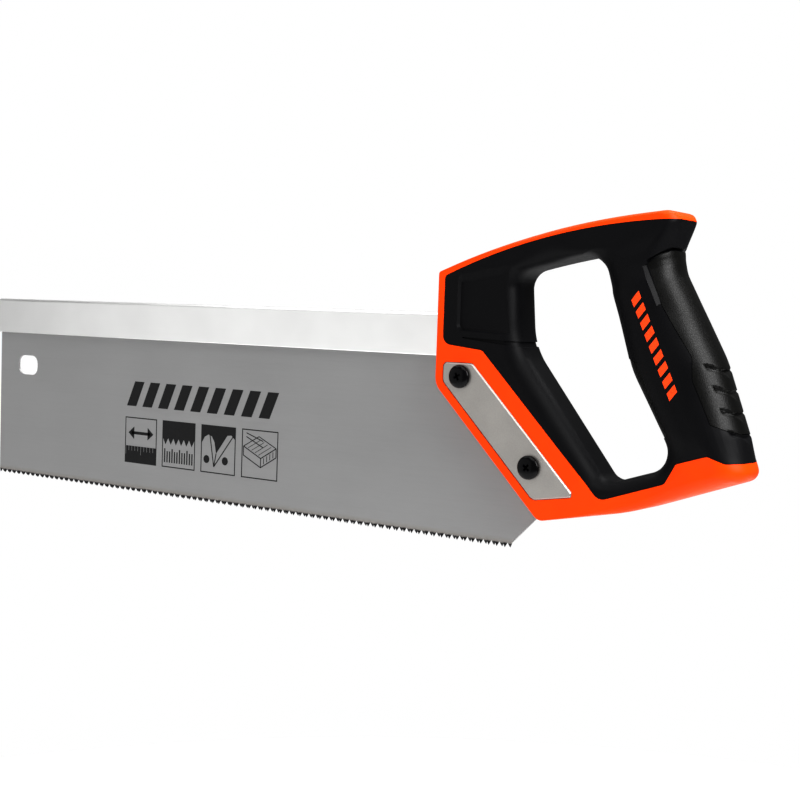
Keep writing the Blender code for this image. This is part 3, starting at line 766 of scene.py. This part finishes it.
@dataclass
class FoldedBack:
    """Steel strip folded over the top of the blade."""

    half: float = BACK_HALF
    gap: float = 0.75  # from the mid-plane to the inside of each leg
    foot: float = BACK_FOOT
    foot_round: float = 0.5
    inner_round: float = 0.7
    roof: float = 2.3
    bend: float = 1.9
    broken: float = 0.35  # broken outer edges

    def build(self) -> None:
        """Extrudes the section along the blade and breaks its edges."""
        top = BACK_TOP
        section = outline(
            (
                Corner(-self.half, self.foot, self.foot_round),
                Corner(-self.gap, self.foot),
                Corner(-self.gap, top - self.roof, self.inner_round),
                Corner(self.gap, top - self.roof, self.inner_round),
                Corner(self.gap, self.foot),
                Corner(self.half, self.foot, self.foot_round),
                Corner(self.half, top, self.bend),
                Corner(-self.half, top, self.bend),
            ),
            tolerance=0.005,
        )
        bm = prism(section, 0, BACK_END)
        turn = Matrix(((0, 1, 0, 0), (1, 0, 0, 0), (0, 0, 1, 0), (0, 0, 0, 1)))
        bmesh.ops.transform(bm, matrix=turn, verts=bm.verts)
        ends = [edge for edge in bm.edges if all(abs(vert.co.x) < 1e-4 for vert in edge.verts)]
        break_edges(bm, ends, self.broken, 2)
        bmesh.ops.recalc_face_normals(bm, faces=bm.faces)
        finish_piece(solid("folded_back", bm), BACK_NICKEL, "back_steel", "back_spine")


# ---------------------------------------------------------------- handle


class Section(NamedTuple):
    """Cross-section of the handle, from its outer edge to the loop."""

    half: float
    outer_round: float
    inner_round: float
    cover: float  # depth of the skeleton below the surface at the outer edge


@dataclass
class HandleForm:
    """The handle's whole surface, drawn as sections round its loop."""

    front: float = 319.5  # X of the front edge, which runs from foot to top
    top: float = 120.4
    foot: float = 70.5
    crown: float = 146.0
    nose_x: float = 374.7  # lower end of the mitre edge
    nose_z: float = 15.3
    grip: float = 430.0  # X of the middle of the grip, and its height
    level: float = 88.0
    wall: float = 358.2  # X of the front of the loop
    cheek: float = 12.0  # half thickness of the flat parts
    belly: float = 15.0  # half thickness in the palm
    skin: float = 4.0  # thickness of the soft skin
    pad: float = 2.5  # and of the pads
    seam: float = 0.12  # half the gap between two mouldings
    spacing: float = 1.1

    def ring(self) -> list[tuple[Corner, Corner, Section]]:
        """Outer corner, loop corner and section at each corner round the handle."""
        mean = (self.cheek + self.belly) / 2
        flat = Section(self.cheek, 0.8, 8.0, 1.0)
        crown = Section(self.cheek, 2.5, 8.0, 1.0)
        peak = Section(self.cheek, 4.0, 8.5, 1.2)
        horn = Section(self.cheek, 6.5, 10.0, 1.6)
        neck = Section(mean, 12.0, 13.0, self.skin)
        palm = Section(self.belly, 17.0, 15.0, self.skin)
        butt = Section(mean, 11.0, 12.0, 1.6)
        base = Section(self.cheek, 3.0, 7.5, 1.0)
        grip, top, low = self.grip, self.crown, self.nose_z
        nose = Corner(self.nose_x, low, 5)
        front_foot = Corner(self.front, self.foot, 8)
        loop_front = Corner(self.wall - 0.6, top - 25.4, 8)
        loop_back = Corner(grip - 33.2, top - 16.9, 9)
        loop_grip = Corner(grip - 18.2, self.level - 7, 40)
        loop_butt = Corner(grip + 3.9, low + 28.5, 9)
        loop_foot = Corner(self.nose_x + 29.4, low + 18.6, 7)
        wall_foot = Corner(self.wall + 2, self.foot + 18.5, 30)
        return [
            (Corner(self.front, self.top, 1.5), loop_front, flat),
            (Corner(self.front + 52.4, top - 5.4, 370), between(loop_front, loop_back, 0.45), crown),
            (Corner(grip + 0.3, top + 0.4, 18), between(loop_front, loop_back, 0.75), peak),
            (Corner(grip + 2.6, top - 3.4, 1.6), loop_back, horn),
            (Corner(grip - 0.5, top - 15.4, 2), between(loop_back, loop_grip, 0.19), neck),
            (Corner(grip + 1.5, top - 24.5, 15), between(loop_back, loop_grip, 0.38), palm),
            (Corner(grip + 20.5, self.level - 1, 50), loop_grip, palm),
            (Corner(grip + 31.6, self.level - 31, 30), between(loop_grip, loop_butt, 0.57), palm),
            (Corner(grip + 35.6, low + 26.0, 4.5), loop_butt, butt),
            (Corner(grip - 13.7, low + 8.3, 90), between(loop_butt, loop_foot, 0.65), base),
            (nose, loop_foot, flat),
            (between(nose, front_foot, 0.5), between(loop_foot, wall_foot, 0.5), flat),
            (front_foot, wall_foot, flat),
        ]

    @staticmethod
    def leg(arcs: Sequence[Sequence[Vector]], index: int) -> tuple[list[Vector], list[float]]:
        """The outline from the middle of one corner to the middle of the next.

        Args:
            arcs: the points of each corner.
            index: the corner that the leg starts at.

        Returns:
            Its points, and the distance along it of each.
        """
        here, following = list(arcs[index]), list(arcs[(index + 1) % len(arcs)])
        points = here[len(here) // 2 :] + following[: len(following) // 2 + 1]
        lengths = [0.0]
        for first, last in zip(points, points[1:]):
            lengths.append(lengths[-1] + (last - first).length)
        return points, lengths

    @staticmethod
    def along(points: Sequence[Vector], lengths: Sequence[float], share: float) -> Vector:
        """The point of a leg at a share of its length."""
        goal = share * lengths[-1]
        for i in range(1, len(points)):
            if goal <= lengths[i] + 1e-9:
                part = (goal - lengths[i - 1]) / (lengths[i] - lengths[i - 1])
                return points[i - 1].lerp(points[i], part)
        return points[-1]

    def section_ring(
        self, start: Vector, end: Vector, section: Section, inset_outer: float, inset: float, fine: int
    ) -> list[Vector]:
        """Points round one section, set in from the handle's surface.

        Args:
            start: the outer end of the section's centre line.
            end: its end at the loop.
            section: half thickness and roundings there.
            inset_outer: how far the outer edge is set in.
            inset: how far the rest is set in.
            fine: points in each rounded quarter.

        Returns:
            The closed ring of points.
        """
        across = (end - start).normalized()
        first = start + across * inset_outer
        length = (end - start).length - inset_outer - inset
        half = section.half - inset
        outer = max(section.outer_round - inset_outer, 0.6)
        inner = max(section.inner_round - inset, 0.6)
        crowded = min(1.0, 0.94 * length / (outer + inner))
        outer, inner = outer * crowded, inner * crowded
        quarters = []
        for reach, base, way in ((outer, 0.0, 1), (inner, length, -1)):
            rise = min(reach, half - 0.5)
            angles = [pi / 2 * i / fine for i in range(fine + 1)]
            arc = [(base + way * reach * (1 - cos(a)), half - rise + rise * sin(a)) for a in angles]
            quarters.append(arc)
        flat = length - outer - inner
        guards = [0.4, 0.25 * flat, 0.5 * flat, 0.75 * flat, flat - 0.4]
        if flat <= 2:
            guards = [flat * share for share in (0.5, 0.6, 0.7, 0.8, 0.9)]
        half_ring = quarters[0] + [(outer + step, half) for step in guards] + quarters[1][::-1]
        whole = half_ring + [(step, -height) for step, height in reversed(half_ring)]
        return [Vector((first.x + across.x * s, -h, first.y + across.y * s)) for s, h in whole]

    def rings(
        self,
        inset: float = 0.0,
        cover: bool = False,
        legs: range | None = None,
        spacing: float = 0.0,
        fine: int = 9,
    ) -> list[list[Vector]]:
        """Sections all round the handle, or along some of its legs.

        Args:
            inset: depth below the surface.
            cover: whether the outer edge is only as deep as the section's cover.
            legs: the legs to draw, by the corner that each starts at.
            spacing: distance between sections, or 0 for the form's own.
            fine: points in each rounded quarter.

        Returns:
            The ring of points at each station.
        """
        corners = self.ring()
        spacing = spacing or self.spacing
        outer = fillets([corner for corner, _, _ in corners])
        inner = fillets([corner for _, corner, _ in corners])
        drawn = []
        for index in legs or range(len(corners)):
            section, following = corners[index][2], corners[(index + 1) % len(corners)][2]
            outer_points, outer_lengths = self.leg(outer, index)
            inner_points, inner_lengths = self.leg(inner, index)
            longest = max(outer_lengths[-1], inner_lengths[-1])
            steps = ceil(longest / spacing)
            marks = sorted(
                [i / steps for i in range(steps)]
                + [length / outer_lengths[-1] for length in outer_lengths]
                + [length / inner_lengths[-1] for length in inner_lengths]
            )
            kept, apart = [0.0], spacing / longest
            for share in marks:
                if share - kept[-1] > 0.35 * apart and 1 - share > 0.3 * apart:
                    kept.append(share)
            for share in kept:
                ease = share * share * (3 - 2 * share)
                blended = Section(*(a + (b - a) * ease for a, b in zip(section, following)))
                rim = blended.cover - (self.skin - inset) if cover else inset
                start = self.along(outer_points, outer_lengths, share)
                end = self.along(inner_points, inner_lengths, share)
                drawn.append(self.section_ring(start, end, blended, rim, inset, fine))
        return drawn

    def body(self, inset: float = 0.0, cover: bool = False) -> BMesh:
        """The whole handle as a solid, set in by a depth."""
        return sweep(self.rings(inset, cover), closed=True)

    def stretch(self, legs: range, spacing: float = 0.42, fine: int = 22) -> BMesh:
        """A fine solid of some of the handle's legs."""
        return sweep(self.rings(legs=legs, spacing=spacing, fine=fine), closed=False)


@dataclass
class HandleZones:
    """Outlines on the cheeks where one moulding gives way to another."""

    form: HandleForm
    mitre: float = 391.5  # X + Z along the 45 degree line that the plates and the skin start from
    plate_rim: float = 3.1
    plate_width: float = 17.0
    band: float = 7.55
    screw_places: tuple[float, float] = (333.2, 370.0)  # of the upper and the lower one, along the blade

    def sums(self) -> tuple[float, float, float]:
        """X + Z along the plate's two long edges and along the edge of the soft skin."""
        low = self.mitre + self.plate_rim * sqrt(2)
        high = low + self.plate_width * sqrt(2)
        return low, high, high + self.band * sqrt(2)

    def soft(self) -> list[Corner]:
        """Where the black skin shows."""
        f, grip, low = self.form, self.form.grip, self.form.nose_z
        band = self.sums()[2]
        return [
            Corner(f.front + 3.7, f.top - 1.7, 2),
            Corner(f.front + 57.4, f.crown - 4.6, 284),
            Corner(grip + 7, f.crown - 3.6),
            Corner(grip + 60, f.crown - 3.6),
            Corner(grip + 60, low + 34.3),
            Corner(grip + 27.5, low + 32.0, 3),
            Corner(grip + 20.5, low + 34.5, 2),
            Corner(grip + 7, low + 30.2, 2),
            Corner(grip + 2.5, low + 21.8, 3),
            Corner(band - low - 11.9, low + 11.9, 5),
            Corner(band - f.foot - 16.2, f.foot + 16.2, 3),
            Corner(f.front + 3.7, f.foot + 18.4, 4),
        ]

    def palm(self, crevice: float = 0.0) -> list[Corner]:
        """The pad under the palm, round the back of the grip.

        Args:
            crevice: how far its bed reaches above its top edge, under the horn.

        Returns:
            Its corners.
        """
        f, grip = self.form, self.form.grip
        return [
            Corner(grip - 9.4, f.crown - 21.4 + crevice, 1),
            Corner(grip - 1.6, f.crown - 15.9 + crevice, 1),
            Corner(grip + 60, f.crown - 15.9 + crevice),
            Corner(grip + 60, f.level - 29.4),
            Corner(grip + 30.5, f.level - 29.4),
            Corner(grip + 20.9, f.level - 25.9, 1),
            Corner(grip + 12.8, f.level - 9, 6),
            Corner(grip + 11.8, f.level, 4),
            Corner(grip - 2, f.level + 20, 8),
        ]

    def fingers(self) -> list[Corner]:
        """The pad under the fingers, at the front of the grip."""
        grip, level = self.form.grip, self.form.level
        return [
            Corner(grip - 26, level - 0.5),
            Corner(grip - 11.5, level - 3.2, 1.5),
            Corner(grip + 2.6, level - 31.5, 1.5),
            Corner(grip - 8, level - 36.5),
        ]

    def plate(self) -> list[Corner]:
        """The metal plate in each cheek."""
        f, low = self.form, self.form.nose_z
        near, far, _ = self.sums()
        return [
            Corner(f.front + 4.3, f.foot + 10.2, 2),
            Corner(far - f.foot - 10.2, f.foot + 10.2, 3),
            Corner(f.nose_x + 15.9, far - f.nose_x - 15.9, 1.2),
            Corner(f.nose_x + 15.9, low + 11.8, 1),
            Corner(near - low - 8.7, low + 8.7, 4),
            Corner(f.front + 4.3, near - f.front - 4.3, 4),
        ]

    def screws(self) -> dict[str, Vector]:
        """Where the two screws go, on the plate's middle line."""
        near, far, _ = self.sums()
        middle = (near + far) / 2
        upper, lower = self.screw_places
        return {"upper": Vector((upper, middle - upper)), "lower": Vector((lower, middle - lower))}


@dataclass
class Handle:
    """The two-shot handle: hard orange core, soft black skin and two rubber pads."""

    form: HandleForm
    zones: HandleZones
    through: float = 30.0  # half the depth of a cutter that goes right through
    plate_floor: float = 10.75
    tang_room: float = 0.75  # half the width of the slot for the blade
    plate_gap: float = 0.18
    panel_depth: float = 1.6
    groove_depth: float = 0.75
    crevice: float = 1.1  # open gap between the palm pad and the horn
    ridge_depth: float = 1.35
    ridge_slope: float = 0.48  # of the ledge on top of each ridge
    ridge_pitch: float = 8.37
    ridges: int = 4  # three on the pad, and the last on the skin below it

    def core(self) -> None:
        """Hard moulding: full thickness along the edges, a skeleton under the skin."""
        form, reach = self.form, self.through
        core = solid("orange_core", form.body())
        carve(core, Cut.AWAY, prism(outline(self.zones.soft(), form.seam), -reach, reach))
        carve(core, Cut.JOIN, form.body(form.skin, cover=True))
        carve(core, Cut.AWAY, prism(self.tang(), -self.tang_room, self.tang_room))
        outside, inside, half = form.front - 20, BACK_END + ROOM, BACK_HALF + ROOM
        low, high = BACK_FOOT - ROOM, BACK_TOP + ROOM
        pocket = [Vector(p) for p in ((outside, low), (inside, low), (inside, high), (outside, high))]
        carve(core, Cut.AWAY, prism(pocket, -half, half))
        seat = outline(self.zones.plate(), self.plate_gap)
        for low, high in ((-reach, -self.plate_floor), (self.plate_floor, reach)):
            carve(core, Cut.AWAY, prism(seat, low, high))
        for centre in self.zones.screws().values():
            carve(core, Cut.AWAY, prism(circle(centre, BARREL + ROOM), -reach, reach))
        finish_piece(core, ORANGE, "orange_plastic", "handle_core")

    def tang(self) -> list[Vector]:
        """The slot for the blade inside the handle."""
        foot, roof, outside = 2.2, 100, HEEL - 60
        corners = (
            Corner(outside, foot),
            Corner(HEEL, foot),
            Corner(TANG_END, foot + TANG_END - HEEL, 4),
            Corner(TANG_END, 42, 4),
            Corner(BACK_END, 86),
            Corner(BACK_END, roof),
            Corner(outside, roof),
        )
        return outline(corners, ROOM)

    def panel(self, side: int) -> BMesh:
        """The shallow panel in a cheek of the web: steep at the front, a long ramp towards the loop."""
        form = self.form
        left, right = form.front + 11.4, form.wall
        top, low = form.crown - 28.9, form.foot + 25.0
        floor = [
            Corner(left, top - 0.6, 1.5),
            Corner(right - 5.5, top + 3.0, 1.5),
            Corner(right - 1.6, low - 1.2, 1.0),
            Corner(left, low, 2.5),
        ]
        rim = [
            Corner(left - 0.8, top + 1.8, 2),
            Corner(right - 1.0, top + 6.6, 2),
            Corner(right + 3.4, low - 2.0, 1.5),
            Corner(left - 0.8, low - 0.7, 3),
        ]
        floor_y, rim_y = form.cheek - self.panel_depth, form.cheek + 0.02
        bottom, edge = self.even(floor), self.even(rim)
        outside = [2 * r - f for f, r in zip(bottom, edge)]
        return prism(bottom, side * floor_y, side * (2 * rim_y - floor_y), outside)

    @staticmethod
    def even(corners: Sequence[Corner], steps: int = 8) -> list[Vector]:
        """An outline with the same number of points in every corner, so that two can be joined."""
        points = []
        for arc in fillets(corners, 0.005):
            last = len(arc) - 1
            for i in range(steps + 1):
                place = last * i / steps
                low = min(int(place), last - 1)
                points.append(arc[low].lerp(arc[low + 1], place - low))
        return points

    def skin(self) -> None:
        """Soft black skin with its panels, the groove below them and the beds of the pads."""
        form, reach = self.form, self.through
        skin = solid("soft_skin", form.body())
        carve(skin, Cut.KEEP, prism(outline(self.zones.soft(), -form.seam), -reach, reach))
        carve(skin, Cut.AWAY, form.body(form.skin - form.seam, cover=True))
        for zone in (self.zones.palm(self.crevice), self.zones.fingers()):
            bed = form.body(form.pad + form.seam)
            carve(skin, Cut.AWAY, self.below_surface(outline(zone, form.seam), bed))
        grip, level = form.grip, form.level
        corners = ((16, -36), (48, -36), (48, -29.6), (30.5, -29.6), (16, -24.2))
        step = [Vector((grip + x, level + z)) for x, z in corners]
        carve(skin, Cut.AWAY, self.below_surface(step, self.pressed(self.ridge_relief, range(6, 8))))
        carve(skin, Cut.AWAY, self.pad_lip(-1), self.pad_lip(1), self.panel(-1), self.panel(1))
        web, low = form.wall + 14, form.foot + 19.4
        corners = ((form.front + 14, 1.6), (web, -2.4), (web, 0.6), (form.front + 14, 2.2))
        groove = [Vector((x, low + z)) for x, z in corners]
        carve(skin, Cut.AWAY, self.below_surface(groove, form.body(self.groove_depth)))
        finish_piece(skin, SKIN_BLACK, "black_skin", "grip_overmould")

    def ridge_relief(self, point: Vector) -> float:
        """How deep the pad is cut at a point of its surface.

        Args:
            point: a point of the handle's plain surface.

        Returns:
            The depth of the cut, below the plain surface.
        """
        form = self.form
        away = abs(point.y)
        drop = form.level - 4.1 + 0.45 * max(away - 5.5, 0) - point.z
        lead = point.x - form.grip - 16.1 + 0.42 * (point.z - form.level + 2)
        if drop < 0 or drop > self.ridges * self.ridge_pitch or lead < 0:
            return 0.0
        rise = 1.5 + (0.38 * (away - 5.5) if away > 5.5 else 0.5 * (5.5 - away))
        place = drop % self.ridge_pitch
        if place > rise:
            return 0.0
        deepest = min(self.ridge_slope * (rise - 0.3), self.ridge_depth)
        return deepest * min(lead / 0.5, 1.0) * min(place / 0.3, 1 - (place - 0.3) / (rise - 0.3))

    def palm_relief(self, point: Vector) -> float:
        """Ridges, and the sunk corner under the horn, as depth below the plain surface."""
        form = self.form
        lead = (point.x - form.grip + 9.4) + 0.45 * (point.z - form.crown + 21.4)
        sunk = 1.0 * exp(-((max(lead, 0.0) / 6.5) ** 2)) / (1 + exp((form.level + 16 - point.z) / 2.5))
        return self.ridge_relief(point) + sunk

    def pressed(self, relief: Callable[[Vector], float], legs: range) -> BMesh:
        """A fine stretch of the handle, pressed in by a relief."""
        bm = self.form.stretch(legs)
        bm.normal_update()
        moves = [(vert, vert.normal * relief(vert.co)) for vert in bm.verts]
        for vert, move in moves:
            vert.co -= move
        return bm

    def below_surface(self, zone: Sequence[Vector], floor: BMesh) -> BMesh:
        """What has to be cut away to reach a floor.

        Args:
            zone: the outline on the cheek that is cut.
            floor: a solid whose surface is reached.

        Returns:
            The solid to cut with.
        """
        room = solid("room", prism(zone, -self.through, self.through))
        carve(room, Cut.AWAY, floor)
        bm = bmesh.new()
        bm.from_mesh(room.data)
        bpy.data.objects.remove(room)
        return bm

    def pad_lip(self, side: int) -> BMesh:
        """A slope from the skin down to the sunk corner of the palm pad."""
        grip, crown = self.form.grip, self.form.crown
        deep, high = 12.5, 15.2
        back = [Vector((grip + 1, crown - 34)), Vector((grip - 4, crown - 19.5))]
        edge = [Vector((grip - 9.7, crown - 21.9)), Vector((grip - 2.2, crown - 37.6))]
        out = Vector((-0.894, -0.447)) * 0.84 * (high - deep)
        return prism(edge + back, side * deep, side * high, [p + out for p in edge] + back)

    def pad_piece(
        self, name: str, zone: Sequence[Corner], relief: Callable[[Vector], float], legs: range
    ) -> Object:
        """A pad let into the skin.

        Args:
            name: the pad's name.
            zone: its outline on the cheek.
            relief: how deep its surface is cut at a point.
            legs: the stretch of the handle that it lies on.

        Returns:
            The pad, still in millimetres.
        """
        form, reach = self.form, self.through
        pad = solid(name, self.pressed(relief, legs))
        carve(pad, Cut.KEEP, prism(outline(zone, -form.seam), -reach, reach))
        carve(pad, Cut.AWAY, form.body(form.pad))
        return pad

    def pads(self) -> None:
        """The ridged pad under the palm and the plain one under the fingers."""
        palm = self.pad_piece("palm_rest", self.zones.palm(), self.palm_relief, range(3, 8))
        finish_piece(palm, PAD_BLACK, "pad_rubber", "palm_pad", sharp=radians(40))
        fingers = self.pad_piece("finger_rest", self.zones.fingers(), lambda point: 0.35, range(5, 9))
        finish_piece(fingers, PAD_BLACK, "pad_rubber", "finger_pad")

    def build(self) -> None:
        """Makes every moulding of the handle."""
        self.core()
        self.skin()
        self.pads()


@dataclass
class GripMark:
    """A row of orange lozenges printed down the left side of the grip, in place of lettering."""

    top: tuple[float, float] = (416.8, 112.6)
    foot: tuple[float, float] = (436.2, 71.5)
    face: float = 15.0
    wide: float = 4.4
    count: int = 9
    filled: float = 0.62  # of each step, by ink
    lean: float = 1.1
    film: tuple[float, float] = (0.015, 0.04)  # from the skin to the two sides of the ink

    def build(self, form: HandleForm) -> None:
        """Cuts the lozenges out of a thin film that lies on the skin."""
        bm = bmesh.new()
        start, end = Vector(self.top), Vector(self.foot)
        down = (end - start).normalized()
        across = Vector((-down.y, down.x)) * self.wide / 2
        pitch = (end - start).length / self.count
        for i in range(self.count):
            middle = start + down * pitch * (i + 0.5)
            half = down * pitch * self.filled / 2
            shift = down * self.lean
            near, far = middle - across + shift, middle + across - shift
            slab(bm, [near - half, near + half, far + half, far - half], -self.face - 2, -2)
        bmesh.ops.recalc_face_normals(bm, faces=bm.faces)
        mark = solid("grip_mark", bm)
        carve(mark, Cut.KEEP, form.body(-self.film[1]))
        carve(mark, Cut.AWAY, form.body(-self.film[0]))
        finish_piece(mark, ORANGE_INK, "black_skin")


# ---------------------------------------------------------------- plates and screws


@dataclass
class SidePlate:
    """Aluminium plate let into a cheek, with its outer edge broken."""

    zones: HandleZones
    face: float = 12.4
    thickness: float = 1.5
    chamfer: float = 0.6

    def build(self, name: str, side: int, bore: float) -> None:
        """Makes one plate.

        Args:
            name: the piece's name.
            side: -1 on the left, 1 on the right.
            bore: radius of its two holes.
        """
        outer, inner = side * self.face, side * (self.face - self.thickness)
        plate = solid(name, prism(outline(self.zones.plate()), inner, outer))
        for centre in self.zones.screws().values():
            carve(plate, Cut.AWAY, prism(circle(centre, bore), -20, 20))
        bm = bmesh.new()
        bm.from_mesh(plate.data)
        face = [edge for edge in bm.edges if all(abs(vert.co.y - outer) < 1e-3 for vert in edge.verts)]
        rim = [edge for edge in face if edge.is_manifold and edge.calc_face_angle() > radians(60)]
        break_edges(bm, rim, self.chamfer, 1)
        bm.to_mesh(plate.data)
        bm.free()
        node = name.replace("cheek_plate", "side_plate")
        finish_piece(plate, PLATE_SILVER, "plate_metal", node, sharp=radians(20))


@dataclass
class Fasteners:
    """Two screws from the left, each into a barrel nut from the right."""

    zones: HandleZones
    seat: float = 12.7
    head: float = 5.15
    height: float = 2.4
    edge: float = 0.7
    shank: float = SHANK
    barrel: float = BARREL
    barrel_length: float = 18.0
    roof: float = 1.0  # between the blind end of a nut's bore and its seat
    recess: float = 2.1  # reach of the cross recess from the middle
    wing_half: float = 0.62
    turns: tuple[float, float] = (radians(24), radians(24) + 0.5)  # of the upper and the lower recess

    def head_profile(self) -> list[tuple[float, float]]:
        """The domed head from its crown to its seat, as radius and distance from the mid-plane."""
        rise, steps = self.height - self.edge, 14
        angles = [pi / 2 * i / steps for i in range(steps + 1)]
        dome = [(self.head * sin(a), self.seat + self.edge + rise * cos(a)) for a in angles]
        return dome + [(self.head, self.seat + 0.15), (self.head - 0.15, self.seat)]

    def recess_tool(self, centre: Vector, turn: float) -> BMesh:
        """The cross recess of a screw: four tapering wings round a pointed well."""
        top = self.seat + self.height
        bm = bmesh.new()
        wing, root = self.recess, self.wing_half
        corners = [(wing, -root), (wing, root), (root, root)]
        turns = [Matrix.Rotation(turn + pi / 2 * k, 2) for k in range(4)]
        plus = [centre + rotation @ Vector(corner) for rotation in turns for corner in corners]
        narrowed = slab(bm, plus, -top - 0.6, -top + 1.9)
        middle = Matrix.Translation((-centre.x, 0, -centre.y))
        bmesh.ops.scale(bm, vec=(0.5, 1, 0.5), verts=narrowed, space=middle)
        bmesh.ops.recalc_face_normals(bm, faces=bm.faces)
        return bm

    def build(self) -> None:
        """Makes both screws and both nuts."""
        low, shank, wide = self.seat - self.barrel_length, self.shank, self.barrel
        bottom, bore = low - ROOM, shank + ROOM
        for (place, centre), turn in zip(self.zones.screws().items(), self.turns):
            shaft = [(shank, self.seat), (shank, bottom + 0.5), (shank - 0.5, bottom), (0, bottom)]
            screw = solid(f"plate_screw_{place}", turned(self.head_profile() + shaft, centre, -1))
            carve(screw, Cut.AWAY, self.recess_tool(centre, turn))
            finish_piece(screw, SCREW_BLACK, "black_screws", f"screw_{place}", sharp=radians(38))
            barrel = [(wide, self.seat), (wide, low + 0.4), (wide - 0.4, low), (bore, low)]
            barrel += [(bore, self.seat - self.roof), (0, self.seat - self.roof)]
            nut = solid(f"barrel_nut_{place}", turned(self.head_profile() + barrel, centre, 1))
            finish_piece(nut, SCREW_BLACK, "black_screws", f"nut_{place}", sharp=radians(38))


# ---------------------------------------------------------------- studio


@dataclass(frozen=True)
class Softbox:
    """A soft rectangular light that faces the saw."""

    name: str
    towards: tuple[float, float, float]  # from the saw to the light
    distance: float
    size: tuple[float, float]
    radiance: float

    def build(self, target: Vector) -> None:
        """Hangs the light.

        Args:
            target: the point that it faces.
        """
        lamp = bpy.data.lights.new(self.name, "AREA")
        lamp.shape = "RECTANGLE"
        lamp.size, lamp.size_y = self.size
        lamp.energy = self.radiance * pi * self.size[0] * self.size[1]
        placed = bpy.data.objects.new(self.name, lamp)
        away = Vector(self.towards).normalized()
        placed.location = target + away * self.distance
        placed.rotation_mode = "QUATERNION"
        placed.rotation_quaternion = away.to_track_quat("Z", "Y")
        placed.visible_camera = False
        bpy.context.scene.collection.objects.link(placed)


@dataclass
class Studio:
    """Camera, pale floor, white surround and soft lights."""

    camera_at: tuple[float, float, float] = (0.2309, -0.5071, 0.0126)
    heading: float = radians(36.03)  # of the view, from +Y towards -X
    dip: float = radians(3.587)
    roll: float = radians(1.948)
    lens: float = 60.75
    floor_drop: float = 0.55
    floor_radius: float = 1.5
    surround: float = 0.2  # what the saw sees of the white room
    contrast: float = 0.8  # below 1 deepens the dark tones
    lights: tuple[Softbox, ...] = (
        Softbox("front_panel", (-0.64, -0.75, 0.0), 1.5, (2.1, 1.6), 0.78),
        Softbox("key", (0.2, -0.55, 0.81), 1.4, (1.05, 0.9), 3.8),
        Softbox("right_box", (0.87, -0.24, 0.43), 1.1, (0.6, 0.6), 16.0),
        Softbox("top_left_panel", (-0.45, -0.05, 0.9), 1.3, (1.8, 1.2), 1.9),
        Softbox("top_right_box", (0.36, 0.34, 0.86), 1.2, (0.6, 0.6), 14.0),
    )

    def camera(self) -> None:
        """Sets the camera at its fixed viewing angle."""
        data = bpy.data.cameras.new("view")
        data.lens, data.sensor_width = self.lens, 36.0
        data.clip_start, data.clip_end = 0.01, 100.0
        made = bpy.data.objects.new("view", data)
        level_part = Vector((-sin(self.heading), cos(self.heading), 0))
        ahead = level_part * cos(self.dip) + Vector((0, 0, -sin(self.dip)))
        level = ahead.to_track_quat("-Z", "Y").to_matrix()
        made.rotation_mode = "QUATERNION"
        made.rotation_quaternion = (level @ Matrix.Rotation(self.roll, 3, "Z")).to_quaternion()
        made.location = self.camera_at
        bpy.context.scene.collection.objects.link(made)
        bpy.context.scene.camera = made

    def floor(self) -> None:
        """A round pale floor well below the saw."""
        bm = bmesh.new()
        bmesh.ops.create_circle(bm, cap_ends=True, segments=96, radius=self.floor_radius)
        bmesh.ops.translate(bm, vec=(0, 0, CAD_BOX[0].z - self.floor_drop), verts=bm.verts)
        made = solid("studio_floor", bm)
        paper = bpy.data.materials.new("white_paper")
        paper.use_nodes = True
        tree = paper.node_tree
        shader = tree.nodes["Principled BSDF"]
        place = add(tree, "TexCoord", {}).outputs["Object"]
        fibres = add(tree, "TexNoise", {"Vector": place, "Scale": grain(4)}).outputs[0]
        bump = add(tree, "Bump", {"Height": fibres, "Strength": 0.05, "Distance": 0.1 * MM}).outputs[0]
        tree.links.new(bump, shader.inputs["Normal"])
        shader.inputs["Base Color"].default_value = linear("#F6F6F6")
        shader.inputs["Roughness"].default_value = 0.9
        shader.inputs["Emission Color"].default_value = linear("#FFFFFF")
        shader.inputs["Emission Strength"].default_value = 0.9
        made.data.materials.append(paper)

    def room(self) -> None:
        """A white surround for the eye, dimmer in what the saw reflects."""
        scene = bpy.context.scene
        world = bpy.data.worlds.new("white_room")
        scene.world = world
        world.use_nodes = True
        tree = world.node_tree
        tree.nodes.clear()
        seen = add(tree, "Background", {"Color": linear("#FFFFFF"), "Strength": 1.0}).outputs[0]
        felt = add(tree, "Background", {"Color": linear("#FFFFFF"), "Strength": self.surround}).outputs[0]
        eye = add(tree, "LightPath", {}).outputs["Is Camera Ray"]
        mixed = add(tree, "MixShader", {0: eye, 1: felt, 2: seen}).outputs[0]
        add(tree, "OutputWorld", {"Surface": mixed})
        scene.view_settings.view_transform = "Standard"
        scene.view_settings.gamma = self.contrast

    def build(self) -> None:
        """Sets up the whole studio."""
        self.camera()
        self.floor()
        self.room()
        target = (CAD_BOX[0] + CAD_BOX[1]) / 2
        for light in self.lights:
            light.build(target)


def main() -> None:
    """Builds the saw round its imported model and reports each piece."""
    logging.basicConfig(level=logging.INFO, format="%(name)s %(message)s")
    Studio().build()
    dress_node("saw_blade", BLADE_STEEL)
    BladePrint().build()
    FoldedBack().build()
    form = HandleForm()
    zones = HandleZones(form)
    Handle(form, zones).build()
    GripMark().build(form)
    plate = SidePlate(zones)
    plate.build("cheek_plate_left", -1, SHANK + ROOM)
    plate.build("cheek_plate_right", 1, BARREL + ROOM)
    Fasteners(zones).build()


if __name__ == "__main__":
    main()
